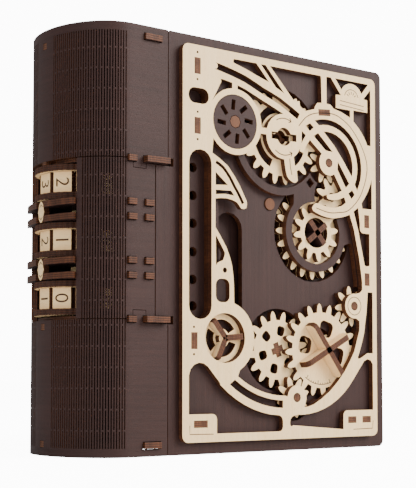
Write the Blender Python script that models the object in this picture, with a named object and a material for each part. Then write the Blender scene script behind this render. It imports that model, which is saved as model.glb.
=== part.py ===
"""A laser-cut plywood code-lock box in the shape of a book.

The book stands upright. X runs to the right across the front cover, Y runs into
the book from the front cover, Z is up. Layouts below are in millimetres, with s
to the right of the front cover's left edge, n into the book from the cover
frame's outer face and z up from the foot of the book.
"""

import math

import bmesh
import bpy
from mathutils import Matrix, Vector

# Book
MM = 0.001
BOOK_HEIGHT = 185.0
BOOK_DEPTH = 66.0
COVER_WIDTH = 127.4
CORNER_RADIUS = 3.0
LAYER = 3.0
GAP = 0.25
PLY = LAYER - GAP
WALL_GAP = 0.3

# Spine
SPINE_CENTRE_S = -19.0
SPINE_BULGE = 24.1
STRIP_EDGE_S = -0.4
MIDDLE_STRIP_EDGE_S = -7.0
SEAM_GAP = 0.4
RIB_PROUD = 2.0
WINDOW_CLEAR_ANGLE = 0.7
WINDOW_GROWTH = 1.25
WINDOW_START = 3.75
SHAFT_RADIUS = 3.0
SPINE_STEPS = 20

# Code wheels
WHEEL_RADIUS = 19.0
WHEEL_BACK_CLEARANCE = 3.4
WHEEL_WAVES = 20
WHEEL_WAVE = 0.55
WHEEL_HEIGHT = 15.0
WHEEL_GAP = 0.3
DIGIT_COUNT = 10
DIGIT_INSET = 2.6
DIGIT_WIDTH = 8.5
RIB_PAIR_INNER = 9.3
RIB_PAIR_OUTER = 15.7
HINGE_RIB_OFFSET = 34.3
POINTER_WIDTH = 5.6
POINTER_INSET = 1.8

# Tabs of the horizontal plates through the spine, as pairs of s
WHEEL_TABS = ((-20.7, -16.7), (-12.1, -8.0))
HINGE_TABS = ((-20.7, -16.7),)
END_TABS = ((-12.5, -3.9),)
TAB_PROUD = 1.2

# Case walls
END_WALL_INSET = 3.4
FORE_EDGE_INSET = 6.5
PARTITION_S = -3.5
PLATE_LEFT_S = 2.0
PLATE_RIGHT_CLEARANCE = 1.9
PLATE_END_CLEARANCE = 1.85

# Cover hinge
HINGE_S = -3.6
HINGE_PIN_RADIUS = 0.7
TONGUE_LEFT_S = -6.5
SWING_CLEARANCE = 0.4
EAR_LEFT_S = -12.8
EAR_RIGHT_S = -1.0
EAR_PROUD = 3.2
NOTCH_S = 2.6

# Gear train
MODULE = 2.05
ADDENDUM = 0.75
DEDENDUM = 1.25
BIG_TEETH = 20
LEFT_TEETH = 16
MIDDLE_TEETH = 12
SMALL_TEETH = 8
AXLE_RADIUS = 1.9
RACK_MODULE = 0.625 * MODULE
BOLT_FOOT = 132.0
GEAR_CLEARANCE = 1.2

# Openings in the gears, in modules: near and far radius, or middle radius, width and height
LOCK_WINDOW = (5.659, 7.512)
KNOB_PETAL = (5.073, 4.195, 3.61)
LEFT_PETAL = (4.341, 2.244, 2.244)


def beside(place, across, up):
    """A place on the cover, (s, z), at a distance in gear modules from another."""
    return (place[0] + across * MODULE, place[1] + up * MODULE)


# Places of the mechanism on the cover, (s, z)
LOCK = (62.67, 144.95)
UPPER_IDLER = beside(LOCK, 13.527, -4.561)
LOWER_IDLER = beside(UPPER_IDLER, 2.049, -7.707)
COMPOUND = beside(LOWER_IDLER, -4.878, -8.683)
DRIVEN = beside(COMPOUND, -12.732, 5.756)
KNOB = (87.5, 46.4)
LEFT_GEAR = beside(KNOB, -11.902, -0.049)
RIGHT_PINION = beside(KNOB, 9.122, 10.439)
BOTTOM_PINION = beside(KNOB, -8.585, -10.78)
SPOKE_WHEEL = (28.4, 50.95)
DIAL = (34.2, 148.4)
BIG_RING = (89.9, 134.1)
SWEEP = (62.7, 71.4)

# Tracery
TRACERY_LEFT = 5.4
TRACERY_RIGHT = COVER_WIDTH - 6.6
TRACERY_FOOT = 5.4
TRACERY_TOP = BOOK_HEIGHT - 5.0
LOCK_DISC_RADIUS = 10.6
KEYHOLE_RADIUS = 4.23
KEYHOLE_HALF_LENGTH = 7.45
KEYHOLE_HALF_HEIGHT = 1.65
DIAL_RING_INNER = 12.35
DIAL_RING_OUTER = 15.05
SPOKE_RING_INNER = 11.05
SPOKE_RING_OUTER = 16.4

# Cover frame bridge
LOCK_RING_CLEARANCE = 1.46
LOCK_RING_WIDTH = 3.5
ANNULUS_CLEARANCE = 1.06
ANNULUS_WIDTH = 3.7

# Knob and dial
KNOB_BLADE_THICK = 3.0
KNOB_BLADE_HEIGHT = 5.6
KNOB_BLADES = ((28.0, 30.0), (127.0, 30.0))
SPOKE_BLADES = (130.0, 5.0, 245.0)
SPOKE_BLADE_LENGTH = 10.2
SPOKE_FRONT_N = -3.6
SPOKE_STEM_RADIUS = 3.0
DIAL_SLOTS = 8
DIAL_PLUG_RADIUS = 2.8

# Worked out from the sizes above
MID_Z = BOOK_HEIGHT / 2
MID_N = BOOK_DEPTH / 2
FORE_EDGE_S = COVER_WIDTH - FORE_EDGE_INSET
PLATE_RIGHT_S = FORE_EDGE_S - PLATE_RIGHT_CLEARANCE
HINGE_N = LAYER / 2
WHEEL_AXIS_S = PARTITION_S - WHEEL_BACK_CLEARANCE - WHEEL_RADIUS
WINDOW_HALF = WINDOW_GROWTH * WHEEL_RADIUS - WINDOW_START
DIGIT_APOTHEM = WHEEL_RADIUS - DIGIT_INSET
POINTER_BACK_S = SPINE_CENTRE_S - SPINE_BULGE + POINTER_INSET
TONGUE_SWEEP = math.hypot(HINGE_S - TONGUE_LEFT_S, HINGE_N) + SWING_CLEARANCE
BOLT_RACK_PITCH_Z = LOCK[1] - RACK_MODULE * SMALL_TEETH / 2
BOLT_TOP = BOLT_RACK_PITCH_Z - DEDENDUM * RACK_MODULE
FRONT_N = -LAYER - KNOB_BLADE_HEIGHT + PLY
RIB_NOTCH_HALF = POINTER_WIDTH / 2 + WALL_GAP
NOSE_SHARE = math.sqrt(1.0 - (RIB_NOTCH_HALF / (MID_N + RIB_PROUD)) ** 2)
NOSE_S = SPINE_CENTRE_S - (SPINE_BULGE + RIB_PROUD) * NOSE_SHARE
CENTRE_S = (min(NOSE_S, WHEEL_AXIS_S - WHEEL_RADIUS) + COVER_WIDTH) / 2
CENTRE_N = (FRONT_N + BOOK_DEPTH) / 2
FACE = Matrix.Rotation(math.radians(90.0), 4, "X")
SIDE = Matrix.Rotation(math.radians(90.0), 4, "Z") @ FACE


# ---------------------------------------------------------------- scene set-up
for old in list(bpy.data.objects):
    bpy.data.objects.remove(old, do_unlink=True)

parts = bpy.data.collections.new("cryptex")
cutters = bpy.data.collections.new("cutters")
for group in (parts, cutters):
    bpy.context.scene.collection.children.link(group)


def make_material(name, colour, roughness):
    """A plywood finish."""
    material = bpy.data.materials.new(name)
    material.use_nodes = True
    shader = material.node_tree.nodes["Principled BSDF"]
    shader.inputs["Base Color"].default_value = (*colour, 1.0)
    shader.inputs["Roughness"].default_value = roughness
    shader.inputs["Metallic"].default_value = 0.0
    return material


STAINED = make_material("stained_plywood", (0.105, 0.058, 0.047), 0.55)
BARE = make_material("bare_plywood", (0.80, 0.66, 0.48), 0.6)
BURNT = make_material("burnt_plywood", (0.36, 0.20, 0.11), 0.6)


# ------------------------------------------------------------------ 2D outlines
def arc(centre, radius, start, end, steps, end_radius=None):
    """Points along an arc in degrees; the radius may change evenly on the way."""
    last = radius if end_radius is None else end_radius
    points = []
    for i in range(steps + 1):
        share = i / steps
        angle = math.radians(start + (end - start) * share)
        reach = radius + (last - radius) * share
        points.append((centre[0] + reach * math.cos(angle), centre[1] + reach * math.sin(angle)))
    return points


def circle(centre, radius, steps=24):
    return arc(centre, radius, 0.0, 360.0, steps)[:-1]


def box(left, right, foot, top):
    return [(left, foot), (right, foot), (right, top), (left, top)]


def run(points, steps=3):
    """A smooth open run through the points."""
    ends = [points[0]] + list(points) + [points[-1]]
    smooth = []
    for i in range(len(points) - 1):
        a, b, c, d = (Vector(p) for p in ends[i : i + 4])
        for k in range(steps):
            t = k / steps
            bend = 2 * b + (c - a) * t + (2 * a - 5 * b + 4 * c - d) * t**2
            smooth.append(tuple((bend + (3 * b - 3 * c + d - a) * t**3) / 2))
    return smooth + [tuple(points[-1])]


def rounded(corners, radius=None):
    """A closed outline whose corners (x, y, r) are rounded; a corner without r stays sharp."""
    outline = []
    count = len(corners)
    for i, corner in enumerate(corners):
        wanted = corner[2] if len(corner) > 2 else (radius or 0.0)
        here = Vector(corner[:2])
        before = Vector(corners[i - 1][:2]) - here
        after = Vector(corners[(i + 1) % count][:2]) - here
        if wanted <= 0.0:
            outline.append(tuple(here))
            continue
        half = before.angle(after) / 2
        setback = min(wanted / math.tan(half), 0.48 * before.length, 0.48 * after.length)
        fitted = setback * math.tan(half)
        middle = here + (before.normalized() + after.normalized()).normalized() * (fitted / math.sin(half))
        start = here + before.normalized() * setback - middle
        finish = here + after.normalized() * setback - middle
        turn = start.angle_signed(finish)
        steps = max(2, round(abs(math.degrees(turn)) / 25.0))
        for k in range(steps + 1):
            angle = -turn * k / steps
            outline.append(tuple(middle + Matrix.Rotation(angle, 2) @ start))
    return outline


def slab(centre, width, height, tilt=0.0, radius=0.0):
    """A rectangle about a centre, turned by tilt degrees."""
    spin = Matrix.Rotation(math.radians(tilt), 2)
    corners = box(-width / 2, width / 2, -height / 2, height / 2)
    turned = [tuple(Vector(centre) + spin @ Vector(c)) for c in corners]
    return rounded(turned, radius) if radius else turned


def band(centreline, width, round_start=True):
    """A strip of even width along a centreline."""
    left, right = [], []
    for i, point in enumerate(centreline):
        here = Vector(point)
        ahead = Vector(centreline[min(i + 1, len(centreline) - 1)])
        behind = Vector(centreline[max(i - 1, 0)])
        side = (ahead - behind).normalized().orthogonal() * width / 2
        left.append(tuple(here + side))
        right.append(tuple(here - side))
    outline = left + right[::-1]
    if round_start:
        first, last = Vector(left[0]), Vector(right[0])
        middle = (first + last) / 2
        for k in (1, 2, 3):
            outline.append(tuple(middle + Matrix.Rotation(math.pi * k / 4, 2) @ (last - middle)))
    return outline


def gear_outline(teeth, phase=0.0, module=MODULE):
    """A gear with petal-shaped teeth; phase is one tooth's angle in degrees."""
    pitch_radius = module * teeth / 2
    root = pitch_radius - DEDENDUM * module
    tip = pitch_radius + ADDENDUM * module
    root_half = min(0.80 * module, 0.36 * 2 * math.pi * root / teeth)
    profile = (
        (root, root_half),
        (pitch_radius, 0.62 * module),
        (tip - 0.28 * module, 0.40 * module),
        (tip, 0.12 * module),
    )
    outline = []
    for tooth in range(teeth):
        spin = math.radians(phase + 360.0 * tooth / teeth)
        flank = [(r, -half) for r, half in profile] + [(r, half) for r, half in reversed(profile)]
        for reach, half in flank:
            angle = spin + math.asin(half / reach)
            outline.append((reach * math.cos(angle), reach * math.sin(angle)))
    return outline


def direction(start, end):
    return math.degrees(math.atan2(end[1] - start[1], end[0] - start[0]))


def mesh_phase(place_a, teeth_a, phase_a, place_b, teeth_b):
    """The phase that puts gear b's teeth in gear a's gaps."""
    towards = direction(place_a, place_b)
    travel = math.radians(phase_a - towards) * teeth_a + math.pi
    return towards + 180.0 - math.degrees(travel) / teeth_b


# -------------------------------------------------------------------- solids
def to_world(s, n, z):
    """A place in the layout as world metres."""
    return Vector(((s - CENTRE_S) * MM, (n - CENTRE_N) * MM, z * MM))


def add_plate(name, outline, holes, thickness, at, turn, material, home=parts):
    """A flat plate from a 2D outline, about the point at, with its thickness centred on it."""
    curve = bpy.data.curves.new(name, "CURVE")
    curve.dimensions = "2D"
    curve.fill_mode = "BOTH"
    curve.extrude = thickness * MM / 2
    curve.materials.append(material)
    for ring in [outline, *holes]:
        spline = curve.splines.new("POLY")
        spline.points.add(len(ring) - 1)
        for point, (x, y) in zip(spline.points, ring):
            point.co = (x * MM, y * MM, 0.0, 1.0)
        spline.use_cyclic_u = True
    plate = bpy.data.objects.new(name, curve)
    home.objects.link(plate)
    plate.matrix_world = Matrix.Translation(at) @ turn
    return plate


def shift(ring, centre):
    return [(x - centre[0], y - centre[1]) for x, y in ring]


def add_face_plate(name, outline, holes, front, material, origin=(0.0, 0.0), thickness=PLY, home=parts):
    """A plate parallel to the cover; its outline is in (s, z) and its origin is at the given point."""
    at = to_world(origin[0], front + thickness / 2, origin[1])
    moved = [shift(ring, origin) for ring in holes]
    return add_plate(name, shift(outline, origin), moved, thickness, at, FACE, material, home)


def add_shelf_plate(name, outline, holes, middle_z, material, origin=(0.0, 0.0), thickness=PLY, home=parts):
    """A horizontal plate; its outline is in (s, n)."""
    at = to_world(origin[0], origin[1], middle_z)
    moved = [shift(ring, origin) for ring in holes]
    return add_plate(name, shift(outline, origin), moved, thickness, at, Matrix(), material, home)


def add_side_plate(name, outline, holes, left, material, thickness=PLY, home=parts):
    """A plate parallel to the fore-edge; its outline is in (n, z)."""
    at = to_world(left + thickness / 2, 0.0, 0.0)
    return add_plate(name, outline, holes, thickness, at, SIDE, material, home)


def to_mesh(plate):
    """The curve as a welded mesh object with the same name and place."""
    name, home = plate.name, plate.users_collection[0]
    graph = bpy.context.evaluated_depsgraph_get()
    mesh = bpy.data.meshes.new_from_object(plate.evaluated_get(graph))
    work = bmesh.new()
    work.from_mesh(mesh)
    bmesh.ops.remove_doubles(work, verts=work.verts, dist=1e-6)
    bmesh.ops.recalc_face_normals(work, faces=work.faces)
    work.to_mesh(mesh)
    work.free()
    place = plate.matrix_world.copy()
    bpy.data.objects.remove(plate, do_unlink=True)
    solid = bpy.data.objects.new(name, mesh)
    home.objects.link(solid)
    solid.matrix_world = place
    return solid


def combine(solid, tool, operation):
    """Joins the tool to the solid or cuts it away, and keeps the tool as a hidden helper."""
    modifier = solid.modifiers.new(tool.name, "BOOLEAN")
    modifier.operation = operation
    modifier.solver = "EXACT"
    modifier.object = tool
    tool.hide_render = True
    tool.display_type = "WIRE"


def cut_faces(solid, rings, front, depth):
    """Cuts outlines in (s, z) through a face plate."""
    for number, ring in enumerate(rings):
        name = f"{solid.name}_cut_{number}"
        tool = add_face_plate(name, ring, [], front, STAINED, thickness=depth, home=cutters)
        combine(solid, to_mesh(tool), "DIFFERENCE")


def cut_box(solid, name, low, high):
    """Cuts away a box between two layout corners (s, n, z)."""
    mesh = bpy.data.meshes.new(name)
    work = bmesh.new()
    bmesh.ops.create_cube(work, size=1.0)
    work.to_mesh(mesh)
    work.free()
    tool = bpy.data.objects.new(name, mesh)
    cutters.objects.link(tool)
    first, second = to_world(*low), to_world(*high)
    tool.location = (first + second) / 2
    tool.scale = [abs(size) for size in second - first]
    combine(solid, tool, "DIFFERENCE")


def add_pin(name, place, front, back, radius, material, sides=16):
    """A round pin square to the cover."""
    return add_face_plate(name, circle(place, radius, sides), [], front, material, place, back - front)


def ride_on(axle, *pieces):
    for piece in pieces:
        place = piece.matrix_world.copy()
        piece.parent = axle
        piece.matrix_world = place


def add_axle(name, s, n, z):
    """An empty on a joint's axis."""
    axle = bpy.data.objects.new(name, None)
    axle.location = to_world(s, n, z)
    parts.objects.link(axle)
    bpy.context.view_layer.update()
    return axle


def level(number):
    """The front face of a layer on the cover: 0 is the tracery, 1 the frame, 2 the mechanism plate."""
    return -LAYER + LAYER * number


# ------------------------------------------------------------------- the case
def spine_point(angle, offset):
    """A point on the half-ellipse of the spine; 90 is the front edge and 270 the back edge."""
    turn = math.radians(angle)
    s = SPINE_CENTRE_S + (SPINE_BULGE + offset) * math.cos(turn)
    return (s, MID_N - (MID_N + offset) * math.sin(turn))


def spine_angle(n, offset):
    """The front-half angle at which the spine curve reaches a depth."""
    return 180.0 - math.degrees(math.asin((MID_N - n) / (MID_N + offset)))


def spine_run(offset, start, end, steps):
    return [spine_point(start + (end - start) * i / steps, offset) for i in range(steps + 1)]


def wrap_outline(start, end, steps, front_edge=None, back_edge=None):
    """The section of a bent strip between two angles, with flat ends out to the given edges."""
    outer = spine_run(0.0, start, end, steps)
    inner = spine_run(-PLY, start, end, steps)
    if front_edge is not None:
        outer.insert(0, (front_edge, 0.0))
        inner.insert(0, (front_edge, PLY))
    if back_edge is not None:
        outer.append((back_edge, BOOK_DEPTH))
        inner.append((back_edge, BOOK_DEPTH - PLY))
    return outer + inner[::-1]


def add_wraps():
    """The four bent strips of the spine, with slots for the rib tabs and notches for the hinge ears."""
    seam_low = MID_Z - HINGE_RIB_OFFSET
    seam_high = MID_Z + HINGE_RIB_OFFSET
    half_seam = SEAM_GAP / 2
    window_front = spine_angle(MID_N - WINDOW_HALF, 0.0)
    window_back = 360.0 - window_front
    whole = wrap_outline(90.0, 270.0, SPINE_STEPS, STRIP_EDGE_S, STRIP_EDGE_S)
    front = wrap_outline(90.0, window_front, SPINE_STEPS // 3, MIDDLE_STRIP_EDGE_S)
    back = wrap_outline(window_back, 270.0, SPINE_STEPS // 3, None, STRIP_EDGE_S)
    near_wall = ("front", (-1.0, PLY + 1.0))
    far_wall = ("back", (BOOK_DEPTH - PLY - 1.0, BOOK_DEPTH + 1.0))
    both = (near_wall, far_wall)
    pieces = (
        ("spine_wrap_top", whole, seam_high + half_seam, BOOK_HEIGHT, both),
        ("spine_wrap_bottom", whole, 0.0, seam_low - half_seam, both),
        ("spine_wrap_front", front, seam_low + half_seam, seam_high - half_seam, (near_wall,)),
        ("spine_wrap_back", back, seam_low + half_seam, seam_high - half_seam, (far_wall,)),
    )
    for name, outline, foot, top, walls in pieces:
        strip = add_shelf_plate(name, outline, [], (foot + top) / 2, STAINED, thickness=top - foot)
        solid = to_mesh(strip)
        for number, (z, left, right) in enumerate(tab_places()):
            if foot < z + PLY and z - PLY < top:
                for side, (near, far) in walls:
                    low = (left - WALL_GAP, near, z - PLY / 2 - WALL_GAP)
                    high = (right + WALL_GAP, far, z + PLY / 2 + WALL_GAP)
                    cut_box(solid, f"{name}_slot_{number}_{side}", low, high)
        if name != "spine_wrap_back":
            for z in (seam_low, seam_high):
                if foot < z + PLY and z - PLY < top:
                    low = (EAR_LEFT_S - WALL_GAP, -1.0, z - PLY / 2 - WALL_GAP)
                    high = (1.0, PLY + 1.0, z + PLY / 2 + WALL_GAP)
                    cut_box(solid, f"{name}_ear_{z:.0f}", low, high)


def rib_levels():
    """Each horizontal plate's middle height and its tabs."""
    levels = []
    for offset in (-RIB_PAIR_OUTER, -RIB_PAIR_INNER, RIB_PAIR_INNER, RIB_PAIR_OUTER):
        levels.append((MID_Z + offset, WHEEL_TABS))
    for offset in (-HINGE_RIB_OFFSET, HINGE_RIB_OFFSET):
        levels.append((MID_Z + offset, HINGE_TABS))
    levels.append((END_WALL_INSET + PLY / 2, END_TABS))
    levels.append((BOOK_HEIGHT - END_WALL_INSET - PLY / 2, END_TABS))
    return levels


def tab_places():
    return [(z, left, right) for z, tabs in rib_levels() for left, right in tabs]


def tabbed_edge(tabs, face, tip):
    """Points along a straight edge at depth face, running to lower s, with tabs out to tip."""
    points = []
    for left, right in sorted(tabs, reverse=True):
        points += [(right, face), (right, tip), (left, tip), (left, face)]
    return points


def rib_outline(right_s, tabs, ear=False, windowed=False):
    """A horizontal plate that fills the inside of the spine out to right_s."""
    inside = -PLY - WALL_GAP
    face = PLY + WALL_GAP
    front = [(right_s, face)]
    if ear:
        ear_back = 2 * LAYER - WALL_GAP
        front = [(right_s, ear_back), (EAR_RIGHT_S, ear_back), (EAR_RIGHT_S, -EAR_PROUD)]
        front += [(EAR_LEFT_S, -EAR_PROUD), (EAR_LEFT_S, face)]
    front += tabbed_edge(tabs, face, -TAB_PROUD)
    if windowed:
        proud_start = spine_angle(MID_N - WINDOW_HALF, 0.0) + WINDOW_CLEAR_ANGLE
        first = spine_run(inside, 90.0, proud_start, SPINE_STEPS // 3)
        notch_start = spine_angle(MID_N - RIB_NOTCH_HALF, RIB_PROUD)
        middle = spine_run(RIB_PROUD, proud_start, notch_start, SPINE_STEPS // 4)
        curve = first + middle + [(POINTER_BACK_S + WALL_GAP, MID_N - RIB_NOTCH_HALF)]
    else:
        curve = spine_run(inside, 90.0, 180.0, SPINE_STEPS // 2)[:-1]
    if windowed:
        sweep_back = HINGE_N + TONGUE_SWEEP
        sweep_left = HINGE_S - TONGUE_SWEEP
        front = [(right_s, sweep_back), (sweep_left, sweep_back), (sweep_left, face)] + front[1:]
    half = front + curve
    if not windowed:
        half.append(spine_point(180.0, inside))
    back = [(s, BOOK_DEPTH - n) for s, n in front_back(right_s, tabs, face)]
    mirrored = [(s, BOOK_DEPTH - n) for s, n in reversed(curve)]
    return half + mirrored + back


def front_back(right_s, tabs, face):
    """The straight back edge before it is mirrored: its tabs end flush with the back."""
    return tabbed_edge(tabs, face, 0.0)[::-1] + [(right_s, face)]




def add_ribs():
    """The spine's shaped ribs and the book's end walls."""
    shaft_hole = circle((WHEEL_AXIS_S, MID_N), SHAFT_RADIUS + WALL_GAP, 16)
    rib_edge = PARTITION_S - WALL_GAP
    names = ("wheel_rib_low", "wheel_rib_mid_low", "wheel_rib_mid_high", "wheel_rib_high")
    names += ("hinge_rib_low", "hinge_rib_high")
    for name, (z, tabs) in zip(names, rib_levels()):
        hinged = tabs is HINGE_TABS
        outline = rib_outline(rib_edge, tabs, ear=hinged, windowed=not hinged)
        holes = [shaft_hole]
        if hinged:
            holes.append(circle((HINGE_S, HINGE_N), HINGE_PIN_RADIUS + WALL_GAP, 12))
        add_shelf_plate(name, outline, holes, z, STAINED)
    wall_edge = FORE_EDGE_S - WALL_GAP
    for name, (z, tabs) in zip(("bottom_wall", "top_wall"), rib_levels()[-2:]):
        outline = rib_outline(wall_edge, tabs)
        add_shelf_plate(name, outline, [], z, STAINED)


def add_walls():
    """The fore-edge wall with its bolt slot, the partition behind the spine and the back cover."""
    near = PLY + WALL_GAP
    far = BOOK_DEPTH - PLY - WALL_GAP
    top = BOOK_HEIGHT - END_WALL_INSET
    bolt_hole = box(level(3) - WALL_GAP, level(4), BOLT_FOOT - 2 * WALL_GAP, BOLT_TOP + 2 * WALL_GAP)
    wall = box(near, far, END_WALL_INSET, top)
    add_side_plate("fore_edge_wall", wall, [bolt_hole], FORE_EDGE_S, STAINED)
    inner_foot = END_WALL_INSET + PLY + WALL_GAP
    inner_top = BOOK_HEIGHT - inner_foot
    partition = box(2 * LAYER, far, inner_foot, inner_top)
    add_side_plate("partition", partition, [], PARTITION_S, STAINED)
    corners = [(0.0, 0.0, 0.8), (COVER_WIDTH, 0.0, CORNER_RADIUS)]
    corners += [(COVER_WIDTH, BOOK_HEIGHT, CORNER_RADIUS), (0.0, BOOK_HEIGHT, 0.8)]
    add_face_plate("back_cover", rounded(corners), [], BOOK_DEPTH - PLY, STAINED)


def add_shaft():
    """The rod that the code wheels turn on, between the end walls."""
    foot = END_WALL_INSET + PLY + WALL_GAP
    length = BOOK_HEIGHT - 2 * foot
    rod = circle((WHEEL_AXIS_S, MID_N), SHAFT_RADIUS, 16)
    add_shelf_plate("wheel_shaft", rod, [], MID_Z, BARE, (WHEEL_AXIS_S, MID_N), length)


def add_pointers():
    """The two arrow plates that mark the code line, each held in the notches of a pair of ribs."""
    half_width = POINTER_WIDTH / 2
    half_length = (RIB_PAIR_OUTER - RIB_PAIR_INNER) / 2 + PLY / 2 + 0.05
    shoulder = half_length - 2.2
    for name, side in (("pointer_low", -1), ("pointer_high", 1)):
        middle = MID_Z + side * (RIB_PAIR_INNER + RIB_PAIR_OUTER) / 2
        outline = []
        for n, z in ((0.0, half_length), (-half_width, shoulder), (-half_width, -shoulder)):
            outline.append((MID_N + n, middle + z))
        for n, z in ((0.0, -half_length), (half_width, -shoulder), (half_width, shoulder)):
            outline.append((MID_N + n, middle + z))
        add_side_plate(name, outline, [], POINTER_BACK_S - LAYER, BARE)


def add_hinge_pins():
    """A pin through each ear into the cover's tongue."""
    reach = 3.0
    for name, side in (("hinge_pin_low", -1), ("hinge_pin_high", 1)):
        inner = HINGE_RIB_OFFSET - PLY / 2 - reach
        outer = HINGE_RIB_OFFSET + PLY / 2 + 0.1
        middle = MID_Z + side * (inner + outer) / 2
        ring = circle((HINGE_S, HINGE_N), HINGE_PIN_RADIUS, 10)
        add_shelf_plate(name, ring, [], middle, BURNT, (HINGE_S, HINGE_N), outer - inner)


# ------------------------------------------------------------- the code wheels
def wheel_rim():
    points = []
    steps = 2 * WHEEL_WAVES
    for i in range(steps):
        angle = math.radians(180.0 + 360.0 * i / steps)
        reach = WHEEL_RADIUS - WHEEL_WAVE * (1.0 - math.cos(angle * WHEEL_WAVES)) / 2
        points.append((WHEEL_AXIS_S + reach * math.cos(angle), MID_N + reach * math.sin(angle)))
    return points


def digit_ring():
    """Ten flat plates round a core, one of them facing left."""
    points = []
    for i in range(DIGIT_COUNT):
        spin = Matrix.Rotation(math.radians(180.0 + 360.0 * i / DIGIT_COUNT), 2)
        back = DIGIT_APOTHEM - PLY
        for reach, half in ((back, -0.96), (DIGIT_APOTHEM, -1.0), (DIGIT_APOTHEM, 1.0), (back, 0.96)):
            points.append(tuple(spin @ Vector((reach, half * DIGIT_WIDTH / 2))))
    return [(WHEEL_AXIS_S + x, MID_N + y) for x, y in points]


def add_code_wheels():
    """Three wheels, each of two wavy discs with a ring of digit plates between them."""
    centre = (WHEEL_AXIS_S, MID_N)
    bore = circle(centre, SHAFT_RADIUS + WALL_GAP, 16)
    rim = wheel_rim()
    digits = digit_ring()
    step = (RIB_PAIR_INNER + RIB_PAIR_OUTER)
    for name, middle in (("low", MID_Z - step), ("mid", MID_Z), ("high", MID_Z + step)):
        axle = add_axle(f"wheel_{name}_axle", WHEEL_AXIS_S, MID_N, middle)
        disc_middle = (WHEEL_HEIGHT - LAYER) / 2
        foot = add_shelf_plate(f"wheel_{name}_foot_disc", rim, [bore], middle - disc_middle, BURNT, centre)
        top = add_shelf_plate(f"wheel_{name}_top_disc", rim, [bore], middle + disc_middle, BURNT, centre)
        height = WHEEL_HEIGHT - 2 * LAYER - WHEEL_GAP
        drum = add_shelf_plate(f"wheel_{name}_digits", digits, [bore], middle, BARE, centre, height)
        ride_on(axle, foot, top, drum)


# ------------------------------------------------------------------- the cover
def lock_ring_inner():
    return tip_radius(BIG_TEETH) + LOCK_RING_CLEARANCE


def annulus_inner():
    return tip_radius(MIDDLE_TEETH) + ANNULUS_CLEARANCE


def opening_lower():
    """The cover frame's main opening, below the lock ring."""
    outline = [(24.2, 131.0), (26.4, 118.0), (27.0, 108.0), (27.0, 70.0), (29.0, 67.6)]
    outline += arc(SPOKE_WHEEL, SPOKE_RING_OUTER + 0.3, 72.0, -61.0, 10)
    outline += arc(SWEEP, 46.5, -127.0, -92.0, 6)
    right_side = [(73.6, 19.9), (80.0, 21.4), (85.2, 24.0), (90.0, 27.6), (94.8, 31.9)]
    right_side += [(99.3, 37.0), (102.9, 41.6), (105.9, 46.2), (107.9, 50.8), (109.0, 55.9)]
    outline += run(right_side, 1)
    outline += [(110.9, 75.9), (110.9, 79.5), (109.1, 91.4)]
    outline += rounded([(109.1, 91.4), (107.4, 98.8, 1.6), (102.6, 97.4)])[1:-1]
    outline += arc(COMPOUND, annulus_inner() + ANNULUS_WIDTH, -15.0, -222.0, 20)
    outline += arc(LOCK, lock_ring_inner() + LOCK_RING_WIDTH, -72.0, -162.0, 12)
    return outline


def add_cover_frame():
    """The front board, with the hinge tongue, the openings over the gears and the tab ends."""
    hinge_low = MID_Z - HINGE_RIB_OFFSET
    hinge_high = MID_Z + HINGE_RIB_OFFSET
    ear_half = PLY / 2 + 0.4
    corners = [(0.0, 0.0, 0.8), (COVER_WIDTH, 0.0, CORNER_RADIUS)]
    corners += [(COVER_WIDTH, BOOK_HEIGHT, CORNER_RADIUS), (0.0, BOOK_HEIGHT, 0.8)]
    corners += [(0.0, hinge_high + ear_half), (NOTCH_S, hinge_high + ear_half)]
    corners += [(NOTCH_S, hinge_high - ear_half), (TONGUE_LEFT_S, hinge_high - ear_half)]
    corners += [(TONGUE_LEFT_S, hinge_low + ear_half), (NOTCH_S, hinge_low + ear_half)]
    corners += [(NOTCH_S, hinge_low - ear_half), (0.0, hinge_low - ear_half)]
    holes = [
        slab((14.9, 96.35), 12.2, 74.7, radius=6.05),
        slab((13.95, 157.45), 10.9, 6.9, radius=3.2),
    ]
    frame = to_mesh(add_face_plate("cover_frame", rounded(corners), holes, level(1), STAINED))
    clear = GEAR_CLEARANCE
    small = tip_radius(SMALL_TEETH) + clear
    rings = [
        opening_lower(),
        circle(LOCK, lock_ring_inner(), 32),
        circle(UPPER_IDLER, small, 20),
        circle(LOWER_IDLER, small, 20),
        circle(COMPOUND, annulus_inner(), 28),
        circle(KNOB, tip_radius(BIG_TEETH) + clear, 36),
        circle(RIGHT_PINION, small, 20),
        circle(BOTTOM_PINION, small, 20),
        circle(SPOKE_WHEEL, SPOKE_RING_INNER + 0.3, 24),
        circle(DIAL, DIAL_PLUG_RADIUS + WALL_GAP, 12),
        slab((81.0, 125.5), 3.5, 3.5, 45.0),
    ]
    cut_faces(frame, rings, level(1) - 1.0, PLY + 2.0)
    for z in (hinge_low, hinge_high):
        side = 1.0 if z < MID_Z else -1.0
        reach = PLY / 2 + 3.6
        low = (HINGE_S - 1.0, HINGE_N - 1.0, z)
        high = (HINGE_S + 1.0, HINGE_N + 1.0, z + side * reach)
        cut_box(frame, f"hinge_hole_{z:.0f}", low, high)
    for number, (centre, width, height, tilt) in enumerate(tab_ends()):
        ring = slab(centre, width - 2 * WALL_GAP, height - 2 * WALL_GAP, tilt)
        depth = level(1) + 1.0 - level(0)
        tab = add_face_plate(f"tab_{number}", ring, [], level(0), STAINED, thickness=depth, home=cutters)
        combine(frame, to_mesh(tab), "UNION")
    return frame


def tip_radius(teeth):
    return MODULE * (teeth / 2 + ADDENDUM)


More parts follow.
